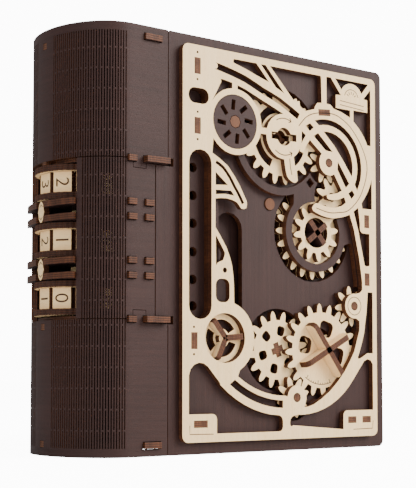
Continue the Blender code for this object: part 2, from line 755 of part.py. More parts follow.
def tab_ends():
    """Where the frame's tabs come through the tracery: centre, width, height and tilt."""
    return (
        ((13.35, 170.75), 3.3, 7.3, 0.0),
        ((13.4, 144.1), 3.3, 7.3, 0.0),
        ((11.7, 49.5), 3.3, 7.3, 0.0),
        ((87.6, 159.5), 7.4, 3.1, 5.0),
        ((114.7, 109.3), 3.2, 6.3, 0.0),
        ((114.7, 81.0), 3.2, 6.1, 0.0),
        ((15.2, 13.3), 7.4, 3.1, 0.0),
        ((104.3, 13.4), 5.3, 3.1, 0.0),
        ((113.7, 13.4), 5.5, 3.1, 0.0),
    )


def add_mechanism_plates():
    """The plate under the gears, the spacer round the hidden layer and the plate behind it."""
    foot = END_WALL_INSET + PLY + PLATE_END_CLEARANCE
    top = BOOK_HEIGHT - foot
    outline = box(PLATE_LEFT_S, PLATE_RIGHT_S, foot, top)
    plate = to_mesh(add_face_plate("mechanism_plate", outline, [], level(2), STAINED))
    clear = GEAR_CLEARANCE
    pin = AXLE_RADIUS + WALL_GAP
    channel = rounded([(27.0, 62.0, 3.0), (42.5, 62.0, 3.0), (42.5, 108.0, 7.6), (27.0, 108.0, 7.6)])
    rings = [
        circle(COMPOUND, tip_radius(BIG_TEETH) + clear, 32),
        circle(LEFT_GEAR, tip_radius(LEFT_TEETH) + clear, 28),
        circle(KNOB, tip_radius(SMALL_TEETH) + clear, 20),
        circle(LOCK, 6.6, 20),
        circle(DRIVEN, DIAL_PLUG_RADIUS + WALL_GAP, 16),
        circle(DIAL, DIAL_PLUG_RADIUS + WALL_GAP, 12),
        circle(SPOKE_WHEEL, SPOKE_STEM_RADIUS + WALL_GAP, 12),
        channel,
    ]
    rings += [circle(place, pin, 12) for place in (UPPER_IDLER, RIGHT_PINION, BOTTOM_PINION)]
    rings += [circle((15.0, z), 2.2, 14) for z in (126.5, 114.0, 101.6, 89.0, 76.7, 65.0)]
    cut_faces(plate, rings, level(2) - 1.0, PLY + 2.0)
    rim = 5.0
    spacer = [
        (PLATE_LEFT_S, foot),
        (PLATE_RIGHT_S, foot),
        (PLATE_RIGHT_S, BOLT_FOOT - 1.0),
        (PLATE_RIGHT_S - rim, BOLT_FOOT - 1.0),
        (PLATE_RIGHT_S - rim, foot + rim),
        (PLATE_LEFT_S + rim, foot + rim),
        (PLATE_LEFT_S + rim, top - rim),
        (PLATE_RIGHT_S - rim, top - rim),
        (PLATE_RIGHT_S - rim, BOLT_TOP + 1.0),
        (PLATE_RIGHT_S, BOLT_TOP + 1.0),
        (PLATE_RIGHT_S, top),
        (PLATE_LEFT_S, top),
    ]
    add_face_plate("spacer_frame", spacer, [], level(3), STAINED)
    holes = [circle(place, 4.3, 16) for place in (LOCK, KNOB, LEFT_GEAR, DRIVEN, COMPOUND)]
    add_face_plate("cover_back_plate", outline, holes, level(4), STAINED)


# --------------------------------------------------------------- the tracery
def corner_holes():
    """Openings along the foot and the sides of the tracery."""
    foot_left = rounded([(8.8, 17.6), (8.8, 34.5)])
    foot_left += arc((14.8, 34.0), 6.0, 175.0, 45.0, 5) + [(25.5, 31.2)]
    foot_left += arc(SWEEP, 55.3, -132.0, -98.5, 6)
    foot = [(61.4, 16.3, 2.8), (61.4, 9.0, 2.2), (23.9, 9.0), (23.9, 17.6, 2.4), (8.8, 17.6)]
    foot_left += rounded(foot)[:-1]
    sweep_slot = arc(SWEEP, 51.8, -127.8, -91.5, 8) + arc(SWEEP, 48.4, -91.5, -126.6, 8)
    foot_right = rounded([(65.6, 9.0, 2.5), (65.6, 15.5, 2.8), (70.5, 16.4)])
    foot_right += arc((72.1, 58.1), 41.8, -89.0, -37.0, 8)
    foot_right += [(110.0, 38.6), (112.3, 41.4), (114.5, 42.4), (116.6, 41.8), (118.0, 40.0)]
    foot_right += rounded([(118.0, 17.9), (98.7, 17.9, 2.3), (98.6, 9.0)])
    right_low = [(115.0, 74.8), (118.2, 74.8), (118.1, 45.2), (114.5, 45.2), (110.0, 42.7), (108.6, 42.5)]
    right_low += run([(108.2, 43.2), (110.0, 47.7), (112.3, 54.5), (113.2, 60.0), (114.1, 65.0)], 2)
    right_mid = rounded(
        [(106.1, 113.6), (109.1, 115.7), (110.2, 108.0), (110.2, 103.4, 3.0), (116.4, 103.3)]
        + [(116.4, 87.4, 1.0), (113.2, 87.5, 1.0), (110.9, 96.8), (109.3, 103.6)]
    )
    right_top = [(118.2, 130.2), (118.2, 115.5), (111.9, 115.4), (111.4, 118.0)]
    right_top += arc(BIG_RING, 27.3, -25.6, -7.8, 4, end_radius=28.5)
    return [foot_left, sweep_slot, foot_right, right_low, right_mid, right_top]


def top_holes():
    """Openings along the top of the tracery and round the plaque."""
    ring_right = [(115.5, 146.8), (117.7, 146.8), (117.7, 174.6), (113.0, 169.4), (115.6, 169.2)]
    ring_right += [(115.6, 163.0), (106.4, 163.0)] + arc(BIG_RING, 28.6, 55.0, 26.4, 6)[:-1]
    ring_left = [(89.0, 177.0), (91.8, 177.1), (98.3, 169.4), (95.0, 169.2), (95.0, 162.8), (104.2, 162.7)]
    ring_left += [(104.2, 159.1), (98.6, 161.1), (93.4, 162.2), (91.6, 163.8), (89.0, 164.0)]
    plaque_top = [(98.6, 172.2), (94.6, 177.1), (116.3, 177.1)]
    plaque_top += arc((105.1, 168.4), 7.5, 27.0, 150.0, 8)
    fan = rounded([(54.3, 176.9), (85.6, 176.9, 0.7), (85.9, 163.9)])
    fan += [(83.2, 163.6), (81.6, 161.5), (81.4, 160.4), (75.5, 158.6), (72.5, 160.6), (72.0, 162.9)]
    fan += [(69.1, 162.2), (60.0, 171.3)]
    sliver = [(49.0, 176.9), (51.8, 176.9), (63.0, 165.2), (57.8, 167.4)]
    wedge = [(33.3, 176.9, 0.7), (46.4, 176.9), (53.9, 169.2), (47.3, 171.1), (40.0, 173.4)]
    wedge = rounded(wedge + [(33.0, 175.2, 0.7)])
    sweep = [(22.9, 172.3), (30.0, 171.0), (40.0, 168.6), (50.0, 164.7), (60.0, 161.3), (71.5, 155.5)]
    slot = band(run(sweep, 2), 3.1)
    over_dial = rounded([(21.4, 167.6, 1.0), (32.5, 165.9), (32.5, 163.4)])
    over_dial += arc(DIAL, DIAL_RING_OUTER, 96.5, 148.0, 5)
    between = run([(35.5, 165.2), (40.0, 164.0), (50.0, 160.2), (56.8, 157.7), (62.3, 155.6)], 1)
    between += arc(LOCK, LOCK_DISC_RADIUS, 105.0, 165.0, 4) + [(49.6, 147.7)]
    between += arc(DIAL, DIAL_RING_OUTER, -1.0, 85.0, 8)
    return [ring_right, ring_left, plaque_top, fan, sliver, wedge, slot, over_dial, between]


def big_ring_holes():
    """Openings inside the large ring at the upper right."""
    crescent = arc(BIG_RING, 22.5, 112.0, -28.5, 16, end_radius=21.2)
    crescent += arc(BIG_RING, 18.6, -23.5, 107.0, 16, end_radius=19.7)
    bow = arc(BIG_RING, 16.5, 100.0, -14.0, 12, end_radius=15.6)
    bow += [(100.0, 137.0), (94.0, 144.0)]
    diamond_top = [(75.9, 151.8), (78.6, 153.3), (80.9, 151.5), (78.4, 149.5)]
    triangle = [(73.5, 149.0), (75.9, 147.2), (73.2, 143.1)]
    slot_a = [(80.7, 147.5), (83.6, 149.2), (92.8, 141.1), (88.4, 141.3)]
    slot_b = [(96.1, 136.8), (103.4, 126.8), (101.1, 124.6), (95.7, 132.9)]
    diamond_low = [(102.7, 122.0), (105.2, 123.9), (106.8, 121.8), (104.8, 119.5)]
    return [crescent, bow, diamond_top, triangle, slot_a, slot_b, diamond_low]


def left_holes():
    """The slots, pin holes and tab slots, and the openings in the two fins."""
    pins = ((13.3, 176.8), (13.3, 164.7), (13.4, 150.2), (13.4, 138.0), (11.45, 55.5), (11.5, 43.6))
    holes = [circle(place, 0.55, 8) for place in pins]
    holes += [slab(centre, width, height, tilt) for centre, width, height, tilt in tab_ends()]
    holes.append(slab((13.95, 157.45), 10.9, 6.9, radius=3.2))
    holes.append(slab((14.9, 96.35), 12.2, 74.7, radius=6.05))
    fin_line = [(23.4, 129.1), (27.3, 127.0), (31.0, 123.0), (33.6, 119.1), (36.4, 115.2), (38.5, 111.6)]
    holes.append(band(run(fin_line, 2), 1.5, round_start=False))
    holes.append([(23.2, 124.6), (30.0, 119.3), (23.2, 118.8)])
    holes.append([(23.3, 116.6), (31.8, 116.9), (33.6, 114.8), (28.5, 115.2), (23.3, 114.6)])
    leaf = [(23.3, 96.4), (25.9, 92.7), (28.5, 88.6, 1.5), (27.3, 85.5), (24.5, 84.3), (23.4, 83.0)]
    holes.append(rounded(leaf))
    holes.append(circle((28.3, 81.1), 1.2, 10))
    holes.append(slab((27.1, 72.0), 7.6, 10.4, radius=2.8))
    return holes


def central_opening():
    """The outline round the gears, clockwise from the dial's ring."""
    outline = arc(DIAL, DIAL_RING_OUTER, 216.0, 346.0, 12)
    outline += arc(LOCK, LOCK_DISC_RADIUS, 181.0, 270.0, 8)
    outline += run([(63.4, 130.2), (64.5, 126.5), (66.7, 124.7), (69.3, 124.0), (70.8, 125.3)], 2)
    outline += [(70.3, 129.4), (69.1, 132.5)]
    outline += arc(LOCK, LOCK_DISC_RADIUS, -57.0, -25.0, 3)
    outline += [(72.2, 139.2), (74.6, 138.6), (75.6, 141.5), (78.4, 145.3)]
    outline += arc(UPPER_IDLER, 6.1, 139.0, 302.0, 12)
    outline += [(98.5, 123.0)]
    finger = [(95.5, 121.5), (91.8, 120.7), (89.3, 120.2), (88.9, 119.2), (89.8, 118.2), (93.0, 117.9)]
    outline += run(finger, 2)
    outline += [(96.4, 118.6), (100.1, 119.9), (101.1, 117.4)]
    outline += run([(98.5, 115.7), (93.0, 114.3), (87.0, 114.8), (82.0, 115.6), (79.5, 113.2)], 3)
    outline += run([(80.3, 111.8), (85.5, 110.0), (92.7, 109.2), (100.0, 110.6), (103.5, 111.9)], 2)
    outline += run([(106.2, 105.0), (109.5, 91.4), (110.7, 84.1), (111.4, 79.5), (111.4, 75.9)], 1)
    outline += [(110.0, 74.4)]
    outline += arc(RIGHT_PINION, 6.0, 80.0, 280.0, 12)
    outline += [(109.4, 60.6), (109.5, 58.5), (109.3, 55.9)]
    sweep = [(105.9, 45.9), (99.5, 36.3), (90.2, 27.1), (80.0, 21.0), (74.6, 19.8)]
    outline += run(sweep, 2)
    outline += arc(BOTTOM_PINION, 5.7, -45.0, 175.0, 12)
    outline += arc(SWEEP, 46.2, -90.0, -126.0, 8)
    outline += arc(SPOKE_WHEEL, SPOKE_RING_OUTER, -60.0, 72.0, 12)
    outline += run([(33.3, 75.0), (32.3, 83.2), (29.1, 91.4), (23.1, 99.9)], 2)
    hook = [(23.1, 112.7), (29.1, 113.3), (35.0, 112.0), (37.5, 109.3), (40.4, 109.8), (40.7, 112.8)]
    outline += run(hook, 2)
    outline += run([(36.6, 119.8), (30.0, 127.9), (21.4, 132.9)], 2)
    return outline


def keyhole(radius, half_length, half_height):
    """A round hole with a notch on each side."""
    lift = math.degrees(math.asin(half_height / radius))
    s, z = LOCK
    outline = [(s + half_length, z + half_height)]
    outline += arc(LOCK, radius, lift, 180.0 - lift, 8)
    outline += [(s - half_length, z + half_height), (s - half_length, z - half_height)]
    outline += arc(LOCK, radius, 180.0 + lift, 360.0 - lift, 8)
    return outline + [(s + half_length, z - half_height)]


def add_tracery():
    """The pierced front panel."""
    corners = [(TRACERY_LEFT, TRACERY_FOOT), (TRACERY_RIGHT, TRACERY_FOOT)]
    corners += [(TRACERY_RIGHT, TRACERY_TOP), (TRACERY_LEFT, TRACERY_TOP)]
    holes = corner_holes() + top_holes() + big_ring_holes() + left_holes()
    holes += [central_opening(), keyhole(KEYHOLE_RADIUS, KEYHOLE_HALF_LENGTH, KEYHOLE_HALF_HEIGHT)]
    holes += [circle(DIAL, DIAL_RING_INNER, 36), circle(SPOKE_WHEEL, SPOKE_RING_INNER, 32)]
    pin = AXLE_RADIUS + WALL_GAP
    holes += [circle(place, pin, 14) for place in (UPPER_IDLER, RIGHT_PINION, BOTTOM_PINION)]
    add_face_plate("tracery", rounded(corners, CORNER_RADIUS), holes, level(0), BARE)


# ----------------------------------------------------------------- the gears
def add_gear(name, place, teeth, phase, layer, holes, material=BARE, module=MODULE, depth=PLY):
    outline = [(x + place[0], y + place[1]) for x, y in gear_outline(teeth, phase, module)]
    return add_face_plate(name, outline, holes, level(layer), material, place, depth)


def petal_window(place, angle, reach, width, height):
    """A rounded window whose middle is at a distance from the gear's centre."""
    turn = Matrix.Rotation(math.radians(angle), 2)
    shape = [(reach - height / 2, 0.42 * width), (reach - height / 2, -0.42 * width)]
    shape += [(reach + height / 2, -width / 2), (reach + height / 2, width / 2)]
    corners = [tuple(Vector(place) + turn @ Vector(p)) + (0.3 * height,) for p in shape]
    return rounded(corners)


def arc_window(place, inner, outer, start, end):
    return arc(place, outer, start, end, 8) + arc(place, inner, end, start, 8)


def cross(place, arms, half_thick):
    """A cross or star of arms (angle, length) as one outline, in order of angle."""
    ordered = sorted((angle % 360.0, length) for angle, length in arms)
    outline = []
    for i, (angle, length) in enumerate(ordered):
        turn = Matrix.Rotation(math.radians(angle), 2)
        outline.append(tuple(Vector(place) + turn @ Vector((length, -half_thick))))
        outline.append(tuple(Vector(place) + turn @ Vector((length, half_thick))))
        following = ordered[(i + 1) % len(ordered)][0] + (360.0 if i + 1 == len(ordered) else 0.0)
        half_angle = math.radians(following - angle) / 2
        inner = half_thick / math.sin(half_angle)
        middle = math.radians(angle) + half_angle
        outline.append((place[0] + inner * math.cos(middle), place[1] + inner * math.sin(middle)))
    return outline


def add_lock_train():
    """The lock gear, the gears that it drives and the bolt."""
    lock_phase = 9.0
    key_hole = keyhole(3.4, 5.4, 1.4)
    middles = (37.0, 127.0, 217.0, 307.0)
    near, far = (radius * MODULE for radius in LOCK_WINDOW)
    windows = [arc_window(LOCK, near, far, middle - 30.0, middle + 30.0) for middle in middles]
    lock_axle = add_axle("lock_axle", LOCK[0], 0.0, LOCK[1])
    gear = add_gear("lock_gear", LOCK, BIG_TEETH, lock_phase, 1, [key_hole, *windows])
    bore = [circle(LOCK, 2.2, 14)]
    depth = 2 * LAYER - GAP
    hub = add_gear("lock_pinion", LOCK, SMALL_TEETH, 90.0, 2, bore, STAINED, RACK_MODULE, depth)
    ride_on(lock_axle, gear, hub)

    upper_phase = mesh_phase(LOCK, BIG_TEETH, lock_phase, UPPER_IDLER, SMALL_TEETH)
    lower_phase = mesh_phase(UPPER_IDLER, SMALL_TEETH, upper_phase, LOWER_IDLER, SMALL_TEETH)
    compound_phase = mesh_phase(LOWER_IDLER, SMALL_TEETH, lower_phase, COMPOUND, MIDDLE_TEETH)
    for name, place, phase in (
        ("upper_idler", UPPER_IDLER, upper_phase),
        ("lower_idler", LOWER_IDLER, lower_phase),
    ):
        axle = add_axle(f"{name}_axle", place[0], 0.0, place[1])
        bore = circle(place, AXLE_RADIUS + WALL_GAP, 14)
        ride_on(axle, add_gear(name, place, SMALL_TEETH, phase, 1, [bore]))
    add_pin("upper_idler_pin", UPPER_IDLER, level(0), level(3) - GAP, AXLE_RADIUS, STAINED)
    add_pin("lower_idler_pin", LOWER_IDLER, level(1), level(2) - GAP, AXLE_RADIUS, STAINED)

    axle = add_axle("compound_axle", COMPOUND[0], 0.0, COMPOUND[1])
    hollow = 7.2
    opening = circle(COMPOUND, hollow, 24)
    front_gear = add_gear("compound_front_gear", COMPOUND, MIDDLE_TEETH, compound_phase, 1, [opening])
    big_gear = add_gear("compound_big_gear", COMPOUND, BIG_TEETH, 0.0, 2, [opening])
    drive = add_gear("compound_drive_gear", COMPOUND, BIG_TEETH, 0.0, 3, [opening])
    arms = [(angle, hollow - WALL_GAP) for angle in (37.0, 130.0, 217.0, 310.0)]
    star = cross(COMPOUND, arms, 1.5)
    front = level(0) + 1.8
    ribs = add_face_plate("compound_ribs", star, [], front, BURNT, COMPOUND, level(4) - GAP - front)
    ride_on(axle, front_gear, big_gear, drive, ribs)

    driven_phase = mesh_phase(COMPOUND, BIG_TEETH, 0.0, DRIVEN, SMALL_TEETH)
    axle = add_axle("driven_axle", DRIVEN[0], 0.0, DRIVEN[1])
    bore = circle(DRIVEN, DIAL_PLUG_RADIUS + WALL_GAP, 16)
    pinion = add_gear("driven_pinion", DRIVEN, SMALL_TEETH, driven_phase, 3, [bore])
    plug = add_pin("driven_plug", DRIVEN, level(2) - 0.6, level(5) - GAP, DIAL_PLUG_RADIUS, BARE)
    ride_on(axle, pinion, plug)


def add_bolt():
    """The bolt, with a rack under the lock pinion."""
    pitch = math.pi * RACK_MODULE
    left, right = LOCK[0] - 5.5 * pitch, PLATE_RIGHT_S
    outline = [(left, BOLT_FOOT), (right, BOLT_FOOT), (right, BOLT_TOP)]
    for tooth in range(1, -5, -1):
        middle = LOCK[0] + (tooth + 0.5) * pitch
        crest = BOLT_RACK_PITCH_Z + 0.7 * RACK_MODULE
        for offset, z in ((0.28, BOLT_TOP), (0.10, crest), (-0.10, crest), (-0.28, BOLT_TOP)):
            outline.append((middle + offset * pitch, z))
    outline.append((left, BOLT_TOP))
    add_face_plate("lock_bolt", outline, [], level(3), STAINED, (right, BOLT_FOOT))


def add_knob_train():
    """The knob gear with its crossed fins, and the gears round it."""
    knob_phase = 3.0
    knob_axle = add_axle("knob_axle", KNOB[0], 0.0, KNOB[1])
    petal = [size * MODULE for size in KNOB_PETAL]
    windows = [petal_window(KNOB, angle, *petal) for angle in (73.0, 167.0, -15.0)]
    gear = add_gear("knob_gear", KNOB, BIG_TEETH, knob_phase, 1, windows)
    pinion_phase = 5.0
    pinion = add_gear("knob_pinion", KNOB, SMALL_TEETH, pinion_phase, 2, [], depth=2 * LAYER - GAP)
    arms = []
    for angle, length in KNOB_BLADES:
        arms += [(angle, length / 2), (angle + 180.0, length / 2)]
    thick = KNOB_BLADE_THICK / 2
    grip = add_face_plate(
        "knob_grip", cross(KNOB, arms, thick), [], FRONT_N, BURNT, KNOB, KNOB_BLADE_HEIGHT
    )
    ride_on(knob_axle, gear, pinion, grip)

    left_phase = mesh_phase(KNOB, SMALL_TEETH, pinion_phase, LEFT_GEAR, LEFT_TEETH)
    axle = add_axle("left_gear_axle", LEFT_GEAR[0], 0.0, LEFT_GEAR[1])
    petal = [size * MODULE for size in LEFT_PETAL]
    windows = [petal_window(LEFT_GEAR, 17.0 + 60.0 * i, *petal) for i in range(6)]
    key = [(angle, 3.1) for angle in (20.0, 110.0, 200.0, 290.0)]
    slot = [(angle, 3.1 + WALL_GAP) for angle in (20.0, 110.0, 200.0, 290.0)]
    windows.append(cross(LEFT_GEAR, slot, 1.2 + WALL_GAP))
    gear = add_gear("left_gear", LEFT_GEAR, LEFT_TEETH, left_phase, 2, windows)
    stem_depth = 3 * LAYER - GAP
    star = cross(LEFT_GEAR, key, 1.2)
    stem = add_face_plate("left_gear_stem", star, [], level(2), BURNT, LEFT_GEAR, stem_depth)
    ride_on(axle, gear, stem)

    for name, place in (("right_pinion", RIGHT_PINION), ("bottom_pinion", BOTTOM_PINION)):
        phase = mesh_phase(KNOB, BIG_TEETH, knob_phase, place, SMALL_TEETH)
        axle = add_axle(f"{name}_axle", place[0], 0.0, place[1])
        bore = circle(place, AXLE_RADIUS + WALL_GAP, 14)
        ride_on(axle, add_gear(name, place, SMALL_TEETH, phase, 1, [bore]))
        add_pin(f"{name}_pin", place, level(0), level(3) - GAP, AXLE_RADIUS, STAINED)


def add_left_turners():
    """The wheel with three standing blades and the slotted dial."""
    axle = add_axle("spoke_wheel_axle", SPOKE_WHEEL[0], 0.0, SPOKE_WHEEL[1])
    windows = []
    for i in range(3):
        start = SPOKE_BLADES[i]
        end = SPOKE_BLADES[(i + 1) % 3]
        span = (end - start) % -360.0
        middle = start + span / 2
        windows.append(arc_window(SPOKE_WHEEL, 4.4, 8.4, middle - 38.0, middle + 38.0))
    windows.append(circle(SPOKE_WHEEL, SPOKE_STEM_RADIUS + WALL_GAP, 12))
    rim = circle(SPOKE_WHEEL, SPOKE_RING_INNER - 0.2, 32)
    ring = add_face_plate("spoke_wheel", rim, windows, level(1), BARE, SPOKE_WHEEL)
    arms = [(angle, SPOKE_BLADE_LENGTH) for angle in SPOKE_BLADES]
    star = cross(SPOKE_WHEEL, arms, 1.5)
    height = -GAP - SPOKE_FRONT_N
    blades = add_face_plate("spoke_blades", star, [], SPOKE_FRONT_N, BURNT, SPOKE_WHEEL, height)
    blades = to_mesh(blades)
    stem = circle(SPOKE_WHEEL, SPOKE_STEM_RADIUS, 12)
    depth = level(4) - GAP - SPOKE_FRONT_N - 1.0
    tool = add_face_plate("spoke_stem", stem, [], SPOKE_FRONT_N + 1.0, BURNT, SPOKE_WHEEL, depth, cutters)
    combine(blades, to_mesh(tool), "UNION")
    ride_on(axle, ring, blades)

    axle = add_axle("dial_axle", DIAL[0], 0.0, DIAL[1])
    slots = []
    for i in range(DIAL_SLOTS):
        angle = 360.0 * i / DIAL_SLOTS + 8.0
        turn = math.radians(angle)
        centre = (DIAL[0] + 7.7 * math.cos(turn), DIAL[1] + 7.7 * math.sin(turn))
        slots.append(slab(centre, 4.7, 2.1, angle - 14.0))
    slots.append(circle(DIAL, DIAL_PLUG_RADIUS + WALL_GAP, 8))
    rim = circle(DIAL, DIAL_RING_INNER - 0.25, 36)
    disc = add_face_plate("slotted_dial", rim, slots, level(0), STAINED, DIAL)
    plug = add_pin("dial_plug", DIAL, level(0), level(4) - GAP, DIAL_PLUG_RADIUS, BARE, 8)
    ride_on(axle, disc, plug)


add_walls()
add_ribs()
add_wraps()
add_shaft()
add_pointers()
add_hinge_pins()
add_code_wheels()
add_cover_frame()
add_mechanism_plates()
add_tracery()
add_lock_train()
add_bolt()
add_knob_train()
add_left_turners()
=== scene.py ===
import math

import bmesh
import bpy
import numpy as np
from mathutils import Matrix, Vector
from mathutils.geometry import tessellate_polygon


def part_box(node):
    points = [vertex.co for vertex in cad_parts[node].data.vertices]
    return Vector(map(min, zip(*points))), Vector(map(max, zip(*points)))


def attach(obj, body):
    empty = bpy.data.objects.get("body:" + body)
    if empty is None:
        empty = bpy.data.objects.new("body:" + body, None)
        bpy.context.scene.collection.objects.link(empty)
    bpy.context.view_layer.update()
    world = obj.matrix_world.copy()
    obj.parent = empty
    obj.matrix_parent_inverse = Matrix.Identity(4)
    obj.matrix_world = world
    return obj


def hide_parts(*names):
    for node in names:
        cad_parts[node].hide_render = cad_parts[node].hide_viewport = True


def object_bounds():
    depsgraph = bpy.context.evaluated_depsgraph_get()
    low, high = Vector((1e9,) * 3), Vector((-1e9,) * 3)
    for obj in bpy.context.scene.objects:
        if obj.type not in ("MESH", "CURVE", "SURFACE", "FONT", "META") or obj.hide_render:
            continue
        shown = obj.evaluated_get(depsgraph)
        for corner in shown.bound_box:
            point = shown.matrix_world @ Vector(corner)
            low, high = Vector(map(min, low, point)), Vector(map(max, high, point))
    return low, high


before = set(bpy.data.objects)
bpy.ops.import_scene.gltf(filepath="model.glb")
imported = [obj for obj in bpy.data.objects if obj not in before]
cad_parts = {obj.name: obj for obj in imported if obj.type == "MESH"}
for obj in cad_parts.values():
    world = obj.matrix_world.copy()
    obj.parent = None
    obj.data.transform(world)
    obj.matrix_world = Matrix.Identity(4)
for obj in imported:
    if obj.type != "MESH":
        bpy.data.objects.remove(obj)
cadLow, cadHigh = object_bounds()

# The layout used below, in millimetres: s to the right of the front cover's left edge,
# n into the book from the cover frame's outer face, z up from the foot.
mm = 0.001
book = {"coverWidth": 127.4, "depth": 66.0, "height": 185.0, "ply": 2.75, "layer": 3.0}
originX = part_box("cover_frame")[1].x - book["coverWidth"] * mm
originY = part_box("back_cover")[1].y - book["depth"] * mm
ply = book["ply"]
midZ = book["height"] / 2
midN = book["depth"] / 2


def spot(s, n, z):
    return Vector((originX + s * mm, originY + n * mm, z * mm))


def layoutBox(node):
    # a CAD node's lowest and highest corner as (s, n, z)
    corners = []
    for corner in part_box(node):
        corners.append(((corner.x - originX) / mm, (corner.y - originY) / mm, corner.z / mm))
    return corners


def middleOf(node):
    low, high = layoutBox(node)
    return [(a + b) / 2 for a, b in zip(low, high)]


# node helpers
def wire(tree, kind, values=None, **settings):
    item = tree.nodes.new(kind)
    for key, value in settings.items():
        setattr(item, key, value)
    for key, value in (values or {}).items():
        if isinstance(value, bpy.types.NodeSocket):
            tree.links.new(value, item.inputs[key])
        else:
            item.inputs[key].default_value = value
    return item


def blendColour(tree, share, first, second, mode="MIX"):
    item = wire(tree, "ShaderNodeMix", data_type="RGBA", blend_type=mode)
    for key, value in ((0, share), (6, first), (7, second)):
        if isinstance(value, bpy.types.NodeSocket):
            tree.links.new(value, item.inputs[key])
        else:
            item.inputs[key].default_value = value
    return item.outputs[2]


def number(tree, operation, first, second=0.0):
    item = wire(tree, "ShaderNodeMath", {0: first, 1: second}, operation=operation)
    return item.outputs[0]


def spread(tree, value, low, high, outLow=0.0, outHigh=1.0):
    values = {"Value": value, "From Min": low, "From Max": high, "To Min": outLow, "To Max": outHigh}
    return wire(tree, "ShaderNodeMapRange", values).outputs["Result"]


def noiseAt(tree, position, stretch, detail=3.0, offset=(0.0, 0.0, 0.0)):
    moved = {0: position, 1: stretch, 2: offset}
    scaled = wire(tree, "ShaderNodeVectorMath", moved, operation="MULTIPLY_ADD")
    values = {"Vector": scaled.outputs[0], "Scale": 1.0, "Detail": detail, "Roughness": 0.55}
    return wire(tree, "ShaderNodeTexNoise", values).outputs["Fac"]


def newGroup(name, inputs, outputs):
    tree = bpy.data.node_groups.new(name, "ShaderNodeTree")
    for label, kind in inputs:
        tree.interface.new_socket(label, in_out="INPUT", socket_type=kind)
    for label, kind in outputs:
        tree.interface.new_socket(label, in_out="OUTPUT", socket_type=kind)
    return tree, tree.nodes.new("NodeGroupInput").outputs, tree.nodes.new("NodeGroupOutput").inputs


# effects shared by the plywood finishes
def makePlyGrain():
    # face veneer: long soft bands, fine fibres and short dark pores, x along the grain in mm
    inputs = (("Place", "NodeSocketVector"), ("Pale", "NodeSocketColor"), ("Deep", "NodeSocketColor"))
    inputs += (("Pore Strength", "NodeSocketFloat"),)
    outputs = (("Colour", "NodeSocketColor"), ("Height", "NodeSocketFloat"))
    tree, given, wanted = newGroup("plyGrain", inputs, outputs)
    place = given["Place"]
    bands = noiseAt(tree, place, (0.018, 0.55, 0.55), 2.0)
    fibres = noiseAt(tree, place, (0.09, 4.2, 4.2), 3.0, (7.0, 3.0, 1.0))
    broad = noiseAt(tree, place, (0.03, 0.045, 0.045), 1.0, (21.0, 9.0, 4.0))
    pores = spread(tree, noiseAt(tree, place, (0.35, 6.5, 6.5), 1.0, (2.0, 40.0, 8.0)), 0.60, 0.70)
    mixed = number(tree, "MULTIPLY", spread(tree, bands, 0.25, 0.75), 0.42)
    mixed = number(tree, "ADD", mixed, number(tree, "MULTIPLY", spread(tree, fibres, 0.25, 0.75), 0.33))
    mixed = number(tree, "ADD", mixed, number(tree, "MULTIPLY", spread(tree, broad, 0.3, 0.7), 0.25))
    veneer = blendColour(tree, mixed, given["Deep"], given["Pale"])
    dark = blendColour(tree, 1.0, veneer, (0.45, 0.38, 0.34, 1.0), "MULTIPLY")
    share = number(tree, "MULTIPLY", pores, given["Pore Strength"])
    tree.links.new(blendColour(tree, share, veneer, dark), wanted["Colour"])
    height = number(tree, "SUBTRACT", fibres, number(tree, "MULTIPLY", pores, 0.8))
    tree.links.new(height, wanted["Height"])
    return tree


def makeEdgeLayers():
    # laser-cut edge: two dark glue lines, charred rims and fine cut striations
    inputs = (("Depth", "NodeSocketFloat"), ("Place", "NodeSocketVector"))
    inputs += (("Toast", "NodeSocketColor"), ("Char", "NodeSocketColor"))
    outputs = (("Colour", "NodeSocketColor"), ("Height", "NodeSocketFloat"))
    tree, given, wanted = newGroup("edgeLayers", inputs, outputs)
    wobble = noiseAt(tree, given["Place"], (0.25, 0.25, 0.25), 2.0)
    depth = number(tree, "ADD", given["Depth"], spread(tree, wobble, 0.3, 0.7, -0.035, 0.035))
    wave = number(tree, "ABSOLUTE", number(tree, "SINE", number(tree, "MULTIPLY", depth, 3.0 * math.pi)))
    layers = spread(tree, wave, 0.08, 0.62)
    streaks = spread(tree, noiseAt(tree, given["Place"], (1.6, 1.6, 1.6), 2.0, (5.0, 5.0, 5.0)), 0.3, 0.7)
    clouds = spread(tree, noiseAt(tree, given["Place"], (0.22, 0.22, 0.22), 1.0, (11.0, 2.0, 6.0)), 0.3, 0.7)
    burn = number(tree, "MULTIPLY", layers, spread(tree, streaks, 0.0, 1.0, 0.45, 1.0))
    burn = number(tree, "MULTIPLY", burn, spread(tree, clouds, 0.0, 1.0, 0.55, 1.0))
    tree.links.new(blendColour(tree, burn, given["Char"], given["Toast"]), wanted["Colour"])
    tree.links.new(number(tree, "ADD", layers, number(tree, "MULTIPLY", streaks, 0.5)), wanted["Height"])
    return tree


plyGrain = makePlyGrain()
edgeLayers = makeEdgeLayers()

